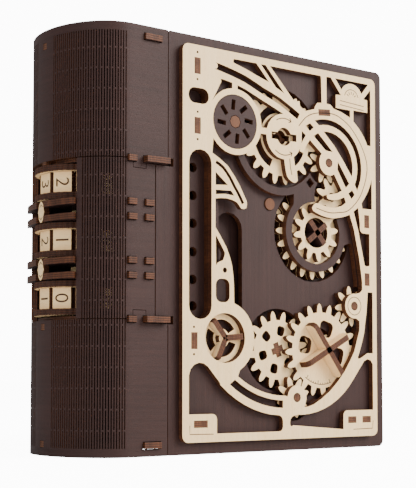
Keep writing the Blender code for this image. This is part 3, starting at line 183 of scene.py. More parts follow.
finishes = {
    "stained": {
        "pale": (0.045, 0.0190, 0.0158, 1.0), "deep": (0.021, 0.0083, 0.0068, 1.0), "pores": 0.6,
        "toast": (0.135, 0.046, 0.018, 1.0), "char": (0.014, 0.0045, 0.003, 1.0),
        "rough": (0.50, 0.66), "bump": 0.20,
    },
    "bare": {
        "pale": (0.97, 0.72, 0.40, 1.0), "deep": (0.85, 0.56, 0.265, 1.0), "pores": 0.35,
        "toast": (0.135, 0.046, 0.018, 1.0), "char": (0.020, 0.0065, 0.0035, 1.0),
        "rough": (0.52, 0.68), "bump": 0.14,
    },
    "charred": {
        "pale": (0.93, 0.69, 0.385, 1.0), "deep": (0.78, 0.515, 0.245, 1.0), "pores": 0.35,
        "toast": (0.085, 0.028, 0.012, 1.0), "char": (0.010, 0.0035, 0.0022, 1.0),
        "rough": (0.50, 0.68), "bump": 0.14,
    },
    "tabEnd": {
        "pale": (0.17, 0.065, 0.027, 1.0), "deep": (0.07, 0.024, 0.010, 1.0), "pores": 0.5,
        "toast": (0.21, 0.080, 0.034, 1.0), "char": (0.018, 0.006, 0.003, 1.0),
        "rough": (0.50, 0.68), "bump": 0.16,
    },
}
streakStretch = 0.15
axisOrder = {"x": (1, 2, 0), "y": (0, 2, 1), "z": (0, 1, 2)}


def startShader(name, finish):
    material = bpy.data.materials.new(name)
    material.use_nodes = True
    material.diffuse_color = finish["deep"]
    shader = material.node_tree.nodes["Principled BSDF"]
    shader.inputs["Specular IOR Level"].default_value = 0.22
    return material, material.node_tree, shader


def finishShader(tree, shader, finish, colour, height, roughShare):
    tree.links.new(colour, shader.inputs["Base Color"])
    tree.links.new(spread(tree, roughShare, 0.0, 1.0, *finish["rough"]), shader.inputs["Roughness"])
    values = {"Height": height, "Strength": finish["bump"], "Distance": 0.0004}
    bump = wire(tree, "ShaderNodeBump", values)
    tree.links.new(bump.outputs["Normal"], shader.inputs["Normal"])


def inMillimetres(tree, coords):
    values = {0: coords.outputs["Object"], "Scale": 1 / mm}
    return wire(tree, "ShaderNodeVectorMath", values, operation="SCALE").outputs[0]


def placeGrain(tree, finish, place):
    # the face veneer of a finish
    face = wire(tree, "ShaderNodeGroup", node_tree=plyGrain)
    tree.links.new(place, face.inputs["Place"])
    face.inputs["Pale"].default_value = finish["pale"]
    face.inputs["Deep"].default_value = finish["deep"]
    face.inputs["Pore Strength"].default_value = finish["pores"]
    return face


def placeLayers(tree, finish, depth, place, squeeze):
    # the cut edge of a finish, with its streaks drawn out through the sheet
    rim = wire(tree, "ShaderNodeGroup", node_tree=edgeLayers)
    tree.links.new(depth, rim.inputs["Depth"])
    squeezed = wire(tree, "ShaderNodeVectorMath", {0: place, 1: squeeze}, operation="MULTIPLY")
    tree.links.new(squeezed.outputs[0], rim.inputs["Place"])
    rim.inputs["Toast"].default_value = finish["toast"]
    rim.inputs["Char"].default_value = finish["char"]
    return rim


def sheetMaterial(name, finishName, axis, start, grain="up"):
    # for a flat sheet whose thickness runs along a world axis from a start in metres
    finish = finishes[finishName]
    material, tree, shader = startShader(name, finish)
    coords = wire(tree, "ShaderNodeTexCoord")
    parts = wire(tree, "ShaderNodeSeparateXYZ", {0: inMillimetres(tree, coords)})
    across, up, through = axisOrder[axis]
    along = (across, up) if grain == "across" else (up, across)
    place = wire(tree, "ShaderNodeCombineXYZ", {0: parts.outputs[along[0]], 1: parts.outputs[along[1]]})
    tree.links.new(parts.outputs[through], place.inputs[2])
    normal = wire(tree, "ShaderNodeSeparateXYZ", {0: coords.outputs["Normal"]})
    facing = number(tree, "ABSOLUTE", normal.outputs[through])
    edge = spread(tree, facing, 0.80, 0.55)
    face = placeGrain(tree, finish, place.outputs[0])
    depth = number(tree, "DIVIDE", number(tree, "SUBTRACT", parts.outputs[through], start / mm), ply)
    rim = placeLayers(tree, finish, depth, place.outputs[0], (1.0, 1.0, streakStretch))
    colour = blendColour(tree, edge, face.outputs["Colour"], rim.outputs["Colour"])
    height = wire(tree, "ShaderNodeMix", data_type="FLOAT")
    tree.links.new(edge, height.inputs[0])
    tree.links.new(face.outputs["Height"], height.inputs[2])
    tree.links.new(rim.outputs["Height"], height.inputs[3])
    finishShader(tree, shader, finish, colour, height.outputs[0], face.outputs["Height"])
    return material


def mappedMaterial(name, finishName, isEdge):
    # for own sheets: UV holds millimetres on a face, and (run, depth) on a cut edge
    finish = finishes[finishName]
    material, tree, shader = startShader(name, finish)
    coords = wire(tree, "ShaderNodeTexCoord")
    if isEdge:
        split = wire(tree, "ShaderNodeSeparateXYZ", {0: coords.outputs["UV"]})
        depth = number(tree, "DIVIDE", split.outputs[1], ply)
        look = placeLayers(tree, finish, depth, coords.outputs["UV"], (1.0, streakStretch, 1.0))
    else:
        look = placeGrain(tree, finish, coords.outputs["UV"])
    finishShader(tree, shader, finish, look.outputs["Colour"], look.outputs["Height"], look.outputs["Height"])
    return material


def engravedMaterial():
    finish = {"deep": (0.10, 0.045, 0.022, 1.0), "rough": (0.6, 0.8), "bump": 0.1}
    material, tree, shader = startShader("engravedLine", finish)
    coords = wire(tree, "ShaderNodeTexCoord")
    speckle = noiseAt(tree, inMillimetres(tree, coords), (2.5, 2.5, 2.5), 2.0)
    colour = blendColour(tree, speckle, (0.018, 0.007, 0.004, 1.0), (0.09, 0.038, 0.018, 1.0))
    finishShader(tree, shader, finish, colour, speckle, speckle)
    return material


# meshes
def makeObject(name, points, faces, materials, faceMaterials=None, uvs=None):
    mesh = bpy.data.meshes.new(name)
    mesh.from_pydata([tuple(p) for p in points], [], faces)
    for material in materials:
        mesh.materials.append(material)
    if faceMaterials is not None:
        mesh.polygons.foreach_set("material_index", faceMaterials)
    if uvs is not None:
        layer = mesh.uv_layers.new(name="sheet")
        layer.data.foreach_set("uv", np.array(uvs, np.float32).ravel())
    mesh.update()
    piece = bpy.data.objects.new(name, mesh)
    bpy.context.scene.collection.objects.link(piece)
    return piece


def area(ring):
    return sum(a[0] * b[1] - b[0] * a[1] for a, b in zip(ring, ring[1:] + ring[:1])) / 2


backShift = 50.0


class SheetStack:
    # collects flat cut sheets, each from 2D outlines in mm and a way to place them, into one piece
    def __init__(self):
        self.points, self.faces, self.slots, self.uvs = [], [], [], []

    def add(self, outline, holes, thick, placeAt, flip=False, faceShift=(0.0, 0.0)):
        rings = [outline if area(outline) > 0 else outline[::-1]]
        rings += [ring if area(ring) < 0 else ring[::-1] for ring in holes]
        flat = [p for ring in rings for p in ring]
        base, count = len(self.points), len(flat)
        self.points += [placeAt(x, y, 0.0) for x, y in flat] + [placeAt(x, y, thick) for x, y in flat]
        for triangle in tessellate_polygon([[(x, y, 0.0) for x, y in ring] for ring in rings]):
            a, b, c = (flat[i] for i in triangle)
            turn = (b[0] - a[0]) * (c[1] - a[1]) - (b[1] - a[1]) * (c[0] - a[0])
            if abs(turn) < 1e-9:
                continue
            order = tuple(triangle) if (turn > 0) != flip else tuple(triangle)[::-1]
            front = [(flat[i][0] + faceShift[0], flat[i][1] + faceShift[1]) for i in order]
            self.addFace([base + i for i in order], 0, front)
            behind = order[::-1]
            # the back face takes its grain from another part of the veneer
            back = [(flat[i][0], flat[i][1] + backShift) for i in behind]
            self.addFace([base + count + i for i in behind], 0, back)
        first = 0
        for ring in rings:
            run = 0.0
            for i, point in enumerate(ring):
                j = (i + 1) % len(ring)
                step = math.dist(point, ring[j])
                a, b = base + first + i, base + first + j
                corners = [a + count, b + count, b, a]
                places = [(run, thick), (run + step, thick), (run + step, 0.0), (run, 0.0)]
                if flip:
                    corners, places = corners[::-1], places[::-1]
                self.addFace(corners, 1, places)
                run += step
            first += len(ring)

    def addFace(self, corners, slot, places):
        self.faces.append(corners)
        self.slots.append(slot)
        self.uvs += places

    def make(self, name, materials, body, slotName, replaced=()):
        piece = makeObject(name, self.points, self.faces, materials, self.slots, self.uvs)
        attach(piece, body)
        if replaced:
            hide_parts(*replaced)
        return piece


def facePlate(front):
    return lambda x, y, d: spot(x, front + d, y)


def shelfPlate(foot, centre=(0.0, 0.0)):
    return lambda x, y, d: spot(centre[0] + x, centre[1] + y, foot + d)


def standingPlate(centre, angle, front, side=0.0):
    # a fin square to the cover: x runs outward at an angle on the cover, y stands out of it
    turn = math.radians(angle)
    ahead, aside = (math.cos(turn), math.sin(turn)), (-math.sin(turn), math.cos(turn))

    def placeAt(x, y, d):
        offset = d - ply / 2 + side
        s = centre[0] + ahead[0] * x + aside[0] * offset
        z = centre[1] + ahead[1] * x + aside[1] * offset
        return spot(s, front - y, z)

    return placeAt


def arcPoints(centre, radius, start, end, steps):
    angles = [math.radians(start + (end - start) * i / steps) for i in range(steps + 1)]
    return [(centre[0] + radius * math.cos(t), centre[1] + radius * math.sin(t)) for t in angles]


def ringPoints(centre, radius, steps=24):
    return arcPoints(centre, radius, 0.0, 360.0, steps)[:-1]


def smoothRun(points, steps=5):
    ends = [points[0]] + list(points) + [points[-1]]
    smooth = []
    for i in range(len(points) - 1):
        a, b, c, d = (Vector(p) for p in ends[i : i + 4])
        for k in range(steps):
            t = k / steps
            bend = 2 * b + (c - a) * t + (2 * a - 5 * b + 4 * c - d) * t**2
            smooth.append(tuple((bend + (3 * b - 3 * c + d - a) * t**3) / 2))
    return smooth + [tuple(points[-1])]


def ribbon(points, width):
    left, right = [], []
    for i, point in enumerate(points):
        ahead, behind = Vector(points[min(i + 1, len(points) - 1)]), Vector(points[max(i - 1, 0)])
        side = (ahead - behind).normalized().orthogonal() * width / 2
        left.append(tuple(Vector(point) + side))
        right.append(tuple(Vector(point) - side))
    return left + right[::-1]


# finishes on the frame's own nodes
def guessSheet(node):
    # the axis that a sheet's thickness runs along, and where it starts
    low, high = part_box(node)
    sizes = [high[i] - low[i] for i in range(3)]
    axis = min(range(3), key=lambda i: sizes[i])
    return "xyz"[axis], low[axis]


frameLooks = {
    "bare": (
        "tracery", "lock_gear", "upper_idler", "lower_idler", "compound_front_gear", "compound_big_gear",
        "compound_drive_gear", "driven_pinion", "knob_gear", "knob_pinion", "left_gear", "right_pinion",
        "bottom_pinion", "spoke_wheel", "wheel_shaft",
    ),
    "tabEnd": ("left_gear_stem", "driven_plug", "dial_plug", "knob_pinion", "lock_pinion"),
    "across": ("slotted_dial",),
}
ownSheets = {
    "cover_frame": ("y", 0.0), "tracery": ("y", -3.0), "slotted_dial": ("y", -3.0), "dial_plug": ("y", -3.0),
    "driven_plug": ("y", 2.4), "lock_pinion": ("y", 3.0), "knob_pinion": ("y", 3.0),
}
for pinName in ("upper_idler_pin", "right_pinion_pin", "bottom_pinion_pin", "lower_idler_pin"):
    ownSheets[pinName] = ("x", middleOf(pinName)[0] - ply / 2)
sharedLooks = {}
for nodeName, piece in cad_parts.items():
    finishName = next((key for key in ("bare", "tabEnd") if nodeName in frameLooks[key]), "stained")
    if nodeName in ownSheets:
        axis, offset = ownSheets[nodeName]
        start = {"x": originX, "y": originY, "z": 0.0}[axis] + offset * mm
    else:
        axis, start = guessSheet(nodeName)
    grain = "across" if axis == "z" or nodeName in frameLooks["across"] else "up"
    key = (finishName, axis, round(start / mm, 1), grain)
    if key not in sharedLooks:
        lookName = f"{finishName}_{axis}_{len(sharedLooks)}"
        sharedLooks[key] = sheetMaterial(lookName, finishName, axis, start, grain)
    piece.data.materials.clear()
    piece.data.materials.append(sharedLooks[key])
print("frame finishes:", len(sharedLooks))

stainedFace = mappedMaterial("stainedFace", "stained", False)
stainedEdge = mappedMaterial("stainedEdge", "stained", True)
bareFace = mappedMaterial("bareFace", "bare", False)
bareEdge = mappedMaterial("bareEdge", "bare", True)
charredFace = mappedMaterial("charredFace", "charred", False)
charredEdge = mappedMaterial("charredEdge", "charred", True)
tabEnd = mappedMaterial("tabEnd", "tabEnd", True)
engraved = engravedMaterial()


# the bent spine strips with their rows of slots
spine = {
    "centreS": -19.0, "bulge": 24.1, "edgeS": -0.4, "middleEdgeS": -7.0, "windowHalf": 20.0,
    "columnPitch": 1.17, "slotWidth": 0.5, "slotLength": 17.0, "bridge": 0.7, "endRim": 3.8,
    "bendStartS": -21.5, "noseBand": (26.0, 40.0), "margin": 2.6, "seamOffset": 34.3, "seamGap": 0.4,
    "tongue": (-17.9, -11.6, 4.0),
}


def spineTable():
    # arc length, s, n and the outward normal along the outer profile, front edge to back edge
    flat = np.linspace(spine["edgeS"], spine["centreS"], 60)
    profile = [(s, 0.0) for s in flat[:-1]]
    for angle in np.linspace(90.0, 270.0, 361):
        t = math.radians(angle)
        profile.append((spine["centreS"] + spine["bulge"] * math.cos(t), midN - midN * math.sin(t)))
    profile += [(s, book["depth"]) for s in flat[::-1][1:]]
    rows = np.array(profile)
    steps = np.hypot(*np.diff(rows, axis=0).T)
    return np.concatenate([[0.0], np.cumsum(steps)]), rows


spineRun, spineRows = spineTable()
spineLength = spineRun[-1]


def runAtDepth(n):
    # arc length where the profile reaches a depth, on the bent part
    bent = np.flatnonzero(spineRows[:, 0] <= spine["centreS"] + 1e-6)
    return float(np.interp(n, spineRows[bent, 1], spineRun[bent]))


def bendPoint(run, z, inward):
    s, n = (np.interp(run, spineRun, spineRows[:, i]) for i in (0, 1))
    if s > spine["centreS"]:
        normal = (0.0, -1.0) if n < midN else (0.0, 1.0)
    else:
        across = (s - spine["centreS"]) / spine["bulge"] ** 2
        depth = (n - midN) / midN**2
        size = math.hypot(across, depth) or 1.0
        normal = (across / size, depth / size)
    return spot(s - normal[0] * inward, n - normal[1] * inward, z)


def slotColumns(start, end):
    count = int((end - start) / spine["columnPitch"])
    first = start + ((end - start) - count * spine["columnPitch"]) / 2
    return [first + i * spine["columnPitch"] for i in range(count + 1)]


def bridgeLevels(foot, top, shifted):
    # middle heights of the solid bridges in one column of slots
    period = spine["slotLength"] + spine["bridge"]
    middle = (foot + top) / 2 + (period / 2 if shifted else 0.0)
    count = int((top - foot) / period) + 1
    levels = [middle + i * period for i in range(-count, count + 1)]
    return [z for z in levels if foot - 0.2 < z < top + 0.2]


def hingeStrip(name, zones, runs, foot, top, windows, tongues, replaced):
    # zones: stretches of arc length that carry slots; windows: (run, run, z, z) cut away
    half = spine["slotWidth"] / 2
    columns = [run for zone in zones for run in slotColumns(*zone)]
    runLines = {runs[0], runs[1]}
    for run in columns:
        runLines |= {run - half, run + half}
    plain = [r for r in np.arange(runs[0], runs[1], 1.5) if all(abs(r - c) > 0.7 for c in columns)]
    runLines |= set(plain)
    # the slots stop short of the book's own foot and top, and run out at the seams
    footEnd = foot + (spine["endRim"] if foot == 0.0 else 0.0)
    topEnd = top - (spine["endRim"] if top == book["height"] else 0.0)
    levelLines = {foot, footEnd, topEnd, top}
    bridges = [bridgeLevels(foot, top, shifted) for shifted in (False, True)]
    for levels in bridges:
        for z in levels:
            levelLines |= {z - spine["bridge"] / 2, z + spine["bridge"] / 2}
    for left, right, low, high in list(windows) + list(tongues):
        runLines |= {left, right}
        levelLines |= {low, high}
    runLines = sorted(r for r in runLines if runs[0] - 1e-9 <= r <= runs[1] + 1e-9)
    runLines = [r for i, r in enumerate(runLines) if i == 0 or r - runLines[i - 1] > 1e-4]
    lowest = min([foot] + [t[2] for t in tongues])
    highest = max([top] + [t[3] for t in tongues])
    levelLines = sorted(z for z in levelLines if lowest - 1e-9 <= z <= highest + 1e-9)
    levelLines = [z for i, z in enumerate(levelLines) if i == 0 or z - levelLines[i - 1] > 1e-4]

    def isSolid(run, z):
        for left, right, low, high in windows:
            if left < run < right and low < z < high:
                return False
        inside = foot < z < top
        for left, right, low, high in tongues:
            inside = inside or (left < run < right and low < z < high)
        if not inside:
            return False
        if not footEnd < z < topEnd:
            return True
        for i, column in enumerate(columns):
            if abs(run - column) < half:
                return any(abs(z - level) < spine["bridge"] / 2 for level in bridges[i % 2])
        return True

    runMiddles = [(a + b) / 2 for a, b in zip(runLines, runLines[1:])]
    levelMiddles = [(a + b) / 2 for a, b in zip(levelLines, levelLines[1:])]
    solid = np.array([[isSolid(r, z) for z in levelMiddles] for r in runMiddles])
    stack = SheetStack()
    wide, tall = len(runLines), len(levelLines)
    for inward in (0.0, ply):
        for run in runLines:
            stack.points += [bendPoint(run, z, inward) for z in levelLines]

    def corner(i, j, layer):
        return layer * wide * tall + i * tall + j

    def solidAt(i, j):
        return 0 <= i < wide - 1 and 0 <= j < tall - 1 and solid[i, j]

    for i in range(wide - 1):
        for j in range(tall - 1):
            if not solid[i, j]:
                continue
            r0, r1, z0, z1 = runLines[i], runLines[i + 1], levelLines[j], levelLines[j + 1]
            square = [(i, j), (i, j + 1), (i + 1, j + 1), (i + 1, j)]
            places = [(r0, z0), (r0, z1), (r1, z1), (r1, z0)]
            stack.addFace([corner(*c, 0) for c in square], 0, places)
            stack.addFace([corner(*c, 1) for c in square[::-1]], 0, places[::-1])
            sides = (((i - 1, j), (i, j), (i, j + 1)), ((i, j + 1), (i, j + 1), (i + 1, j + 1)))
            sides += (((i + 1, j), (i + 1, j + 1), (i + 1, j)), ((i, j - 1), (i + 1, j), (i, j)))
            for beyond, a, b in sides:
                if solidAt(*beyond):
                    continue
                ends = (runLines[a[0]] + levelLines[a[1]], runLines[b[0]] + levelLines[b[1]])
                corners = [corner(*a, 0), corner(*a, 1), corner(*b, 1), corner(*b, 0)]
                stack.addFace(corners, 1, [(ends[0], 0.0), (ends[0], ply), (ends[1], ply), (ends[1], 0.0)])
    piece = stack.make(name, (stainedFace, stainedEdge), "case", "stained", replaced)
    work = bmesh.new()
    work.from_mesh(piece.data)
    bmesh.ops.delete(work, geom=[v for v in work.verts if not v.link_faces], context="VERTS")
    work.to_mesh(piece.data)
    work.free()


def tabWindows(foot, top, sides):
    # the slots that the plates' tabs come through, from the plates' own places
    half = ply / 2 + 0.3
    windows = []
    for node in ("wheel_rib_low", "wheel_rib_mid_low", "wheel_rib_mid_high", "wheel_rib_high"):
        for left, right in ((-20.7, -16.7), (-12.1, -8.0)):
            windows.append((left, right, middleOf(node)[2]))
    for node in ("hinge_rib_low", "hinge_rib_high"):
        windows.append((-20.7, -16.7, middleOf(node)[2]))
    for node in ("bottom_wall", "top_wall"):
        windows.append((-12.5, -3.9, middleOf(node)[2]))
    found = []
    for left, right, z in windows:
        if foot < z + half and z - half < top:
            near = (frontRun(right + 0.3), frontRun(left - 0.3))
            if "front" in sides:
                found.append((*near, z - half, z + half))
            if "back" in sides:
                found.append((spineLength - near[1], spineLength - near[0], z - half, z + half))
    return found


def frontRun(s):
    # arc length at a place on the front flat or just past it
    front = np.flatnonzero(spineRows[:, 1] < midN)
    return float(np.interp(-s, -spineRows[front, 0], spineRun[front]))


def makeSpine():
    seamLow, seamHigh = midZ - spine["seamOffset"], midZ + spine["seamOffset"]
    halfGap = spine["seamGap"] / 2
    bendRun = frontRun(spine["bendStartS"])
    noseNear, noseFar = (runAtDepth(n) for n in spine["noseBand"])
    windowNear, windowFar = (runAtDepth(midN + side * spine["windowHalf"]) for side in (-1, 1))
    wholeZones = ((bendRun, noseNear), (noseFar, spineLength - bendRun))
    earHalf = ply / 2 + 0.3
    ear = (frontRun(1.0), frontRun(-13.1))
    left, right, reach = spine["tongue"]
    tongueRuns = (frontRun(right), frontRun(left))
    gap = 0.25
    for name, foot, top, seam, side in (
        ("spineTop", seamHigh + halfGap, book["height"], seamHigh, -1),
        ("spineBottom", 0.0, seamLow - halfGap, seamLow, 1),
    ):
        windows = tabWindows(foot, top, ("front", "back"))
        windows.append((*ear, seam - earHalf, seam + earHalf))
        if side < 0:
            tongues = [(*tongueRuns, foot - reach, foot)]
        else:
            tongues = [(*tongueRuns, top, top + reach)]
        nose = runAtDepth(midN)
        for z in (126.9 if side < 0 else 55.2, 178.0 if side < 0 else 5.0):
            if foot < z - 2.0 and z + 2.0 < top:
                windows.append((nose - 1.6, nose + 1.6, z - 1.5, z + 1.5))
        replaced = ("spine_wrap_top",) if side < 0 else ("spine_wrap_bottom",)
        hingeStrip(name, wholeZones, (0.0, spineLength), foot, top, windows, tongues, replaced)
    foot, top = seamLow + halfGap, seamHigh - halfGap
    frontZone = ((bendRun, windowNear - spine["margin"]),)
    windows = tabWindows(foot, top, ("front",))
    for seam, side in ((seamLow, 1), (seamHigh, -1)):
        windows.append((*ear, seam - earHalf, seam + earHalf))
        edge = foot if side > 0 else top
        low, high = sorted((edge - side * 1.0, edge + side * (reach + gap - halfGap * 2)))
        windows.append((tongueRuns[0] - gap, tongueRuns[1] + gap, low, high))
    middleRuns = (frontRun(spine["middleEdgeS"]), windowNear)
    hingeStrip("spineFront", frontZone, middleRuns, foot, top, windows, (), ("spine_wrap_front",))
    backZone = ((windowFar + spine["margin"], spineLength - bendRun),)
    windows = tabWindows(foot, top, ("back",))
    hingeStrip("spineBack", backZone, (windowFar, spineLength), foot, top, windows, (), ("spine_wrap_back",))


makeSpine()
print("spine strips done")


# the code wheels
wheel = {
    "radius": 19.0, "waves": 42, "waveDepth": 0.5, "apothem": 16.4, "plateWidth": 8.5, "plateHeight": 9.0,
    "plates": 10, "coreRadius": 13.2, "bore": 3.3, "digitSize": 6.6, "digitLift": 0.03, "grainStep": 30.0,
    "fontScale": 1.35, "fontOffset": -0.06, "coreGap": 0.3,
}
firstDigits = {"high": 3, "mid": 2, "low": 1}
axisPlace = (middleOf("wheel_mid_foot_disc")[0], middleOf("wheel_mid_foot_disc")[1])


def wavyRim():
    steps = wheel["waves"] * 4
    points = []
    for i in range(steps):
        t = 2 * math.pi * i / steps
        dip = (1.0 - math.cos(t * wheel["waves"])) / 2
        reach = wheel["radius"] - wheel["waveDepth"] * dip**1.5
        points.append((reach * math.cos(t), reach * math.sin(t)))
    return points


def wheelPlate(index):
    # a digit plate: x runs round the wheel, y is up, d goes inward
    turn = math.radians(180.0 + 360.0 * index / wheel["plates"])
    out, side = (math.cos(turn), math.sin(turn)), (-math.sin(turn), math.cos(turn))

    def placeAt(x, y, d, middle=0.0):
        reach = wheel["apothem"] - d
        s = axisPlace[0] + out[0] * reach + side[0] * x
        n = axisPlace[1] + out[1] * reach + side[1] * x
        return spot(s, n, middle + y)

    return placeAt


def digitOutline(value):
    text = bpy.data.curves.new("digitShape", "FONT")
    text.body = str(value)
    text.align_x = text.align_y = "CENTER"
    text.size = wheel["digitSize"] * wheel["fontScale"]
    text.offset = wheel["fontOffset"]
    shape = bpy.data.objects.new("digitShape", text)
    bpy.context.scene.collection.objects.link(shape)
    mesh = shape.to_mesh()
    points = [(v.co.x, v.co.y) for v in mesh.vertices]
    faces = [tuple(p.vertices) for p in mesh.polygons]
    shape.to_mesh_clear()
    bpy.data.objects.remove(shape)
    middle = [(max(p[i] for p in points) + min(p[i] for p in points)) / 2 for i in (0, 1)]
    return [(x - middle[0], y - middle[1]) for x, y in points], faces


def makeWheels():
    digits = [digitOutline(value) for value in range(10)]
    rim, bore = wavyRim(), ringPoints((0.0, 0.0), wheel["bore"], 16)
    half, tall = wheel["plateWidth"] / 2, wheel["plateHeight"] / 2
    platform = [(-half, -tall), (half, -tall), (half, tall), (-half, tall)]
    for level in ("low", "mid", "high"):
        body = f"wheel_{level}"
        for side in ("foot", "top"):
            foot = layoutBox(f"wheel_{level}_{side}_disc")[0][2]
            disc = SheetStack()
            disc.add(rim, [bore], ply, shelfPlate(foot, axisPlace), flip=True)
            replaced = (f"wheel_{level}_{side}_disc",)
            disc.make(f"{side}Disc.{level}", (charredFace, charredEdge), body, "bare", replaced)
        middle = middleOf(f"wheel_{level}_digits")[2]
        plates, numerals = SheetStack(), SheetStack()
        for index in range(wheel["plates"]):
            place = wheelPlate(index)
            shift = (0.0, wheel["grainStep"] * index)
            atHeight = lambda x, y, d, p=place: p(x, y, d, middle)
            plates.add(platform, [], ply, atHeight, flip=True, faceShift=shift)
            value = (firstDigits[level] - index) % 10
            points, faces = digits[value]
            base = len(numerals.points)
            # the digits lie on their side, with their heads towards the front cover
            numerals.points += [place(y, -x, -wheel["digitLift"], middle) for x, y in points]
            for face in faces:
                numerals.addFace([base + i for i in face], 0, [points[i] for i in face])
        plates.make(f"digitPlates.{level}", (bareFace, bareEdge), body, "bare", (f"wheel_{level}_digits",))
        numerals.make(f"digits.{level}", (engraved,), body, "edge_grain")
        core = SheetStack()
        drum = ringPoints((0.0, 0.0), wheel["coreRadius"], 30)
        drumPlace = shelfPlate(middle - tall + wheel["coreGap"], axisPlace)
        core.add(drum, [bore], wheel["plateHeight"] - 2 * wheel["coreGap"], drumPlace, flip=True)
        core.make(f"wheelCore.{level}", (stainedFace, stainedEdge), body, "stained")


makeWheels()
print("code wheels done")


# fins, spokes and crosses that stand square to the cover
knob = {"angles": (28.0, 127.0), "length": 30.0, "height": 5.6, "lift": 0.25, "crown": 2.6}
spokes = {
    "angles": (130.0, 5.0, 245.0), "length": 10.2, "front": -3.6, "lift": 0.25, "crown": 1.2,
    "stemRadius": 3.0, "stemFront": -2.4, "stemLength": 11.1,
}
cross = {"angles": (37.0, 130.0, 217.0, 310.0), "reach": 6.85}


def finHalf(length, height, blunt, drop):
    outline = [(0.0, 0.0), (length, 0.0)]
    for i in range(7):
        t = math.pi / 2 * i / 6
        outline.append((length - blunt * (1 - math.cos(t)), height - drop * (1 - math.sin(t))))
    outline.append((0.0, height))
    return outline


def makeFins():
    centre = middleOf("knob_gear")[0], middleOf("knob_gear")[2]
    base = -knob["lift"]
    fins = SheetStack()
    for angle in knob["angles"]:
        half = finHalf(knob["length"] / 2, knob["height"], knob["crown"], knob["crown"])
        whole = half[1:-1] + [(-x, y) for x, y in reversed(half[1:-1])]
        fins.add(whole, [], ply, standingPlate(centre, angle, base), flip=True)
    fins.make("knobFins", (bareFace, bareEdge), "knob", "bare", ("knob_grip",))

    centre = middleOf("spoke_wheel")[0], middleOf("spoke_wheel")[2]
    blades = SheetStack()
    for angle in spokes["angles"]:
        height = -spokes["front"] - spokes["lift"]
        outline = finHalf(spokes["length"], height, spokes["crown"], spokes["crown"])
        blades.add(outline, [], ply, standingPlate(centre, angle, -spokes["lift"]), flip=True)
    stem = ringPoints(centre, spokes["stemRadius"], 16)
    blades.add(stem, [], spokes["stemLength"], facePlate(spokes["stemFront"]))
    blades.make("spokeFins", (bareFace, bareEdge), "spoke_wheel", "bare", ("spoke_blades",))

    low, high = layoutBox("compound_ribs")
    centre = (low[0] + high[0]) / 2, (low[2] + high[2]) / 2
    ribs = SheetStack()
    reach, deep = cross["reach"], high[1] - low[1]
    for angle in cross["angles"]:
        outline = [(0.0, 0.0), (reach, 0.0), (reach, deep), (0.0, deep)]
        ribs.add(outline, [], ply, standingPlate(centre, angle, high[1]), flip=True)
    ribs.make("crossRibs", (stainedFace, stainedEdge), "compound", "stained", ("compound_ribs",))


makeFins()
print("fins done")


# engraved lines, tab ends and axle ends, a hair proud of the sheets that they lie on
marks = {"lift": 0.03, "thick": 0.05, "line": 0.42, "fine": 0.34, "arrowHead": 1.1, "arrowBack": 9.0}
axleRadius = 1.75
tabEnds = (
    ((13.35, 170.75), 7.2, 90.0), ((13.4, 144.1), 7.2, 90.0), ((11.7, 49.5), 7.2, 90.0),
    ((87.6, 159.5), 7.3, 5.0), ((114.7, 109.3), 6.2, 90.0), ((114.7, 81.0), 6.0, 90.0),
    ((15.2, 13.3), 7.3, 0.0), ((104.3, 13.4), 5.2, 0.0), ((113.7, 13.4), 5.4, 0.0),
)


def turnedPlate(centre, angle, front):
    # x runs along a tab's length, y through its thickness
    turn = math.radians(angle)

    def placeAt(x, y, d):
        across = y - ply / 2
        s = centre[0] + x * math.cos(turn) - across * math.sin(turn)
        return spot(s, front + d, centre[1] + x * math.sin(turn) + across * math.cos(turn))

    return placeAt


def makeTabEnds():
    front = layoutBox("tracery")[0][1] - marks["lift"]
    ends = SheetStack()
    for centre, length, angle in tabEnds:
        half = length / 2
        outline = [(-half, 0.0), (half, 0.0), (half, ply), (-half, ply)]
        ends.add(outline, [], marks["thick"], turnedPlate(centre, angle, front))
    ends.make("tabEnds", (tabEnd, tabEnd), "cover", "edge_grain")
    axles = SheetStack()
    for node in ("upper_idler_pin", "right_pinion_pin", "bottom_pinion_pin"):
        centre = (middleOf(node)[0], middleOf(node)[2])
        outline = ringPoints((0.0, ply / 2), axleRadius, 12)
        front = layoutBox(node)[0][1] - marks["lift"]
        axles.add(outline, [], marks["thick"], turnedPlate(centre, 90.0, front))
    axles.make("axleEnds", (tabEnd, tabEnd), "cover", "edge_grain")


def engrave(name, lines, front, body):
    stack = SheetStack()
    for points, width in lines:
        stack.add(ribbon(points, width), [], marks["thick"], facePlate(front - marks["lift"]))
    stack.make(name, (engraved, engraved), body, "edge_grain")


def arrowArc(centre, radius, start, end):
    # an arc with a head of two short strokes at its end
    tip = arcPoints(centre, radius, end, end, 1)[0]
    back = marks["arrowBack"] if end < start else -marks["arrowBack"]
    lines = [(arcPoints(centre, radius, start, end, 8), marks["line"])]
    for reach in (radius - marks["arrowHead"], radius + marks["arrowHead"]):
        lines.append(([arcPoints(centre, reach, end + back, end + back, 1)[0], tip], marks["line"]))
    return lines


plaque = {
    "centre": (105.1, 168.4), "arch": 4.6, "rays": (35.0, 62.0, 90.0, 118.0, 145.0), "rules": (164.3, 166.3),
}
dialTicks = {"radius": 16.2, "start": 235.0, "step": 5.4, "count": 11, "short": 15.4, "long": 14.4}
eyeRadius, arrowRadius = 4.3, 8.6


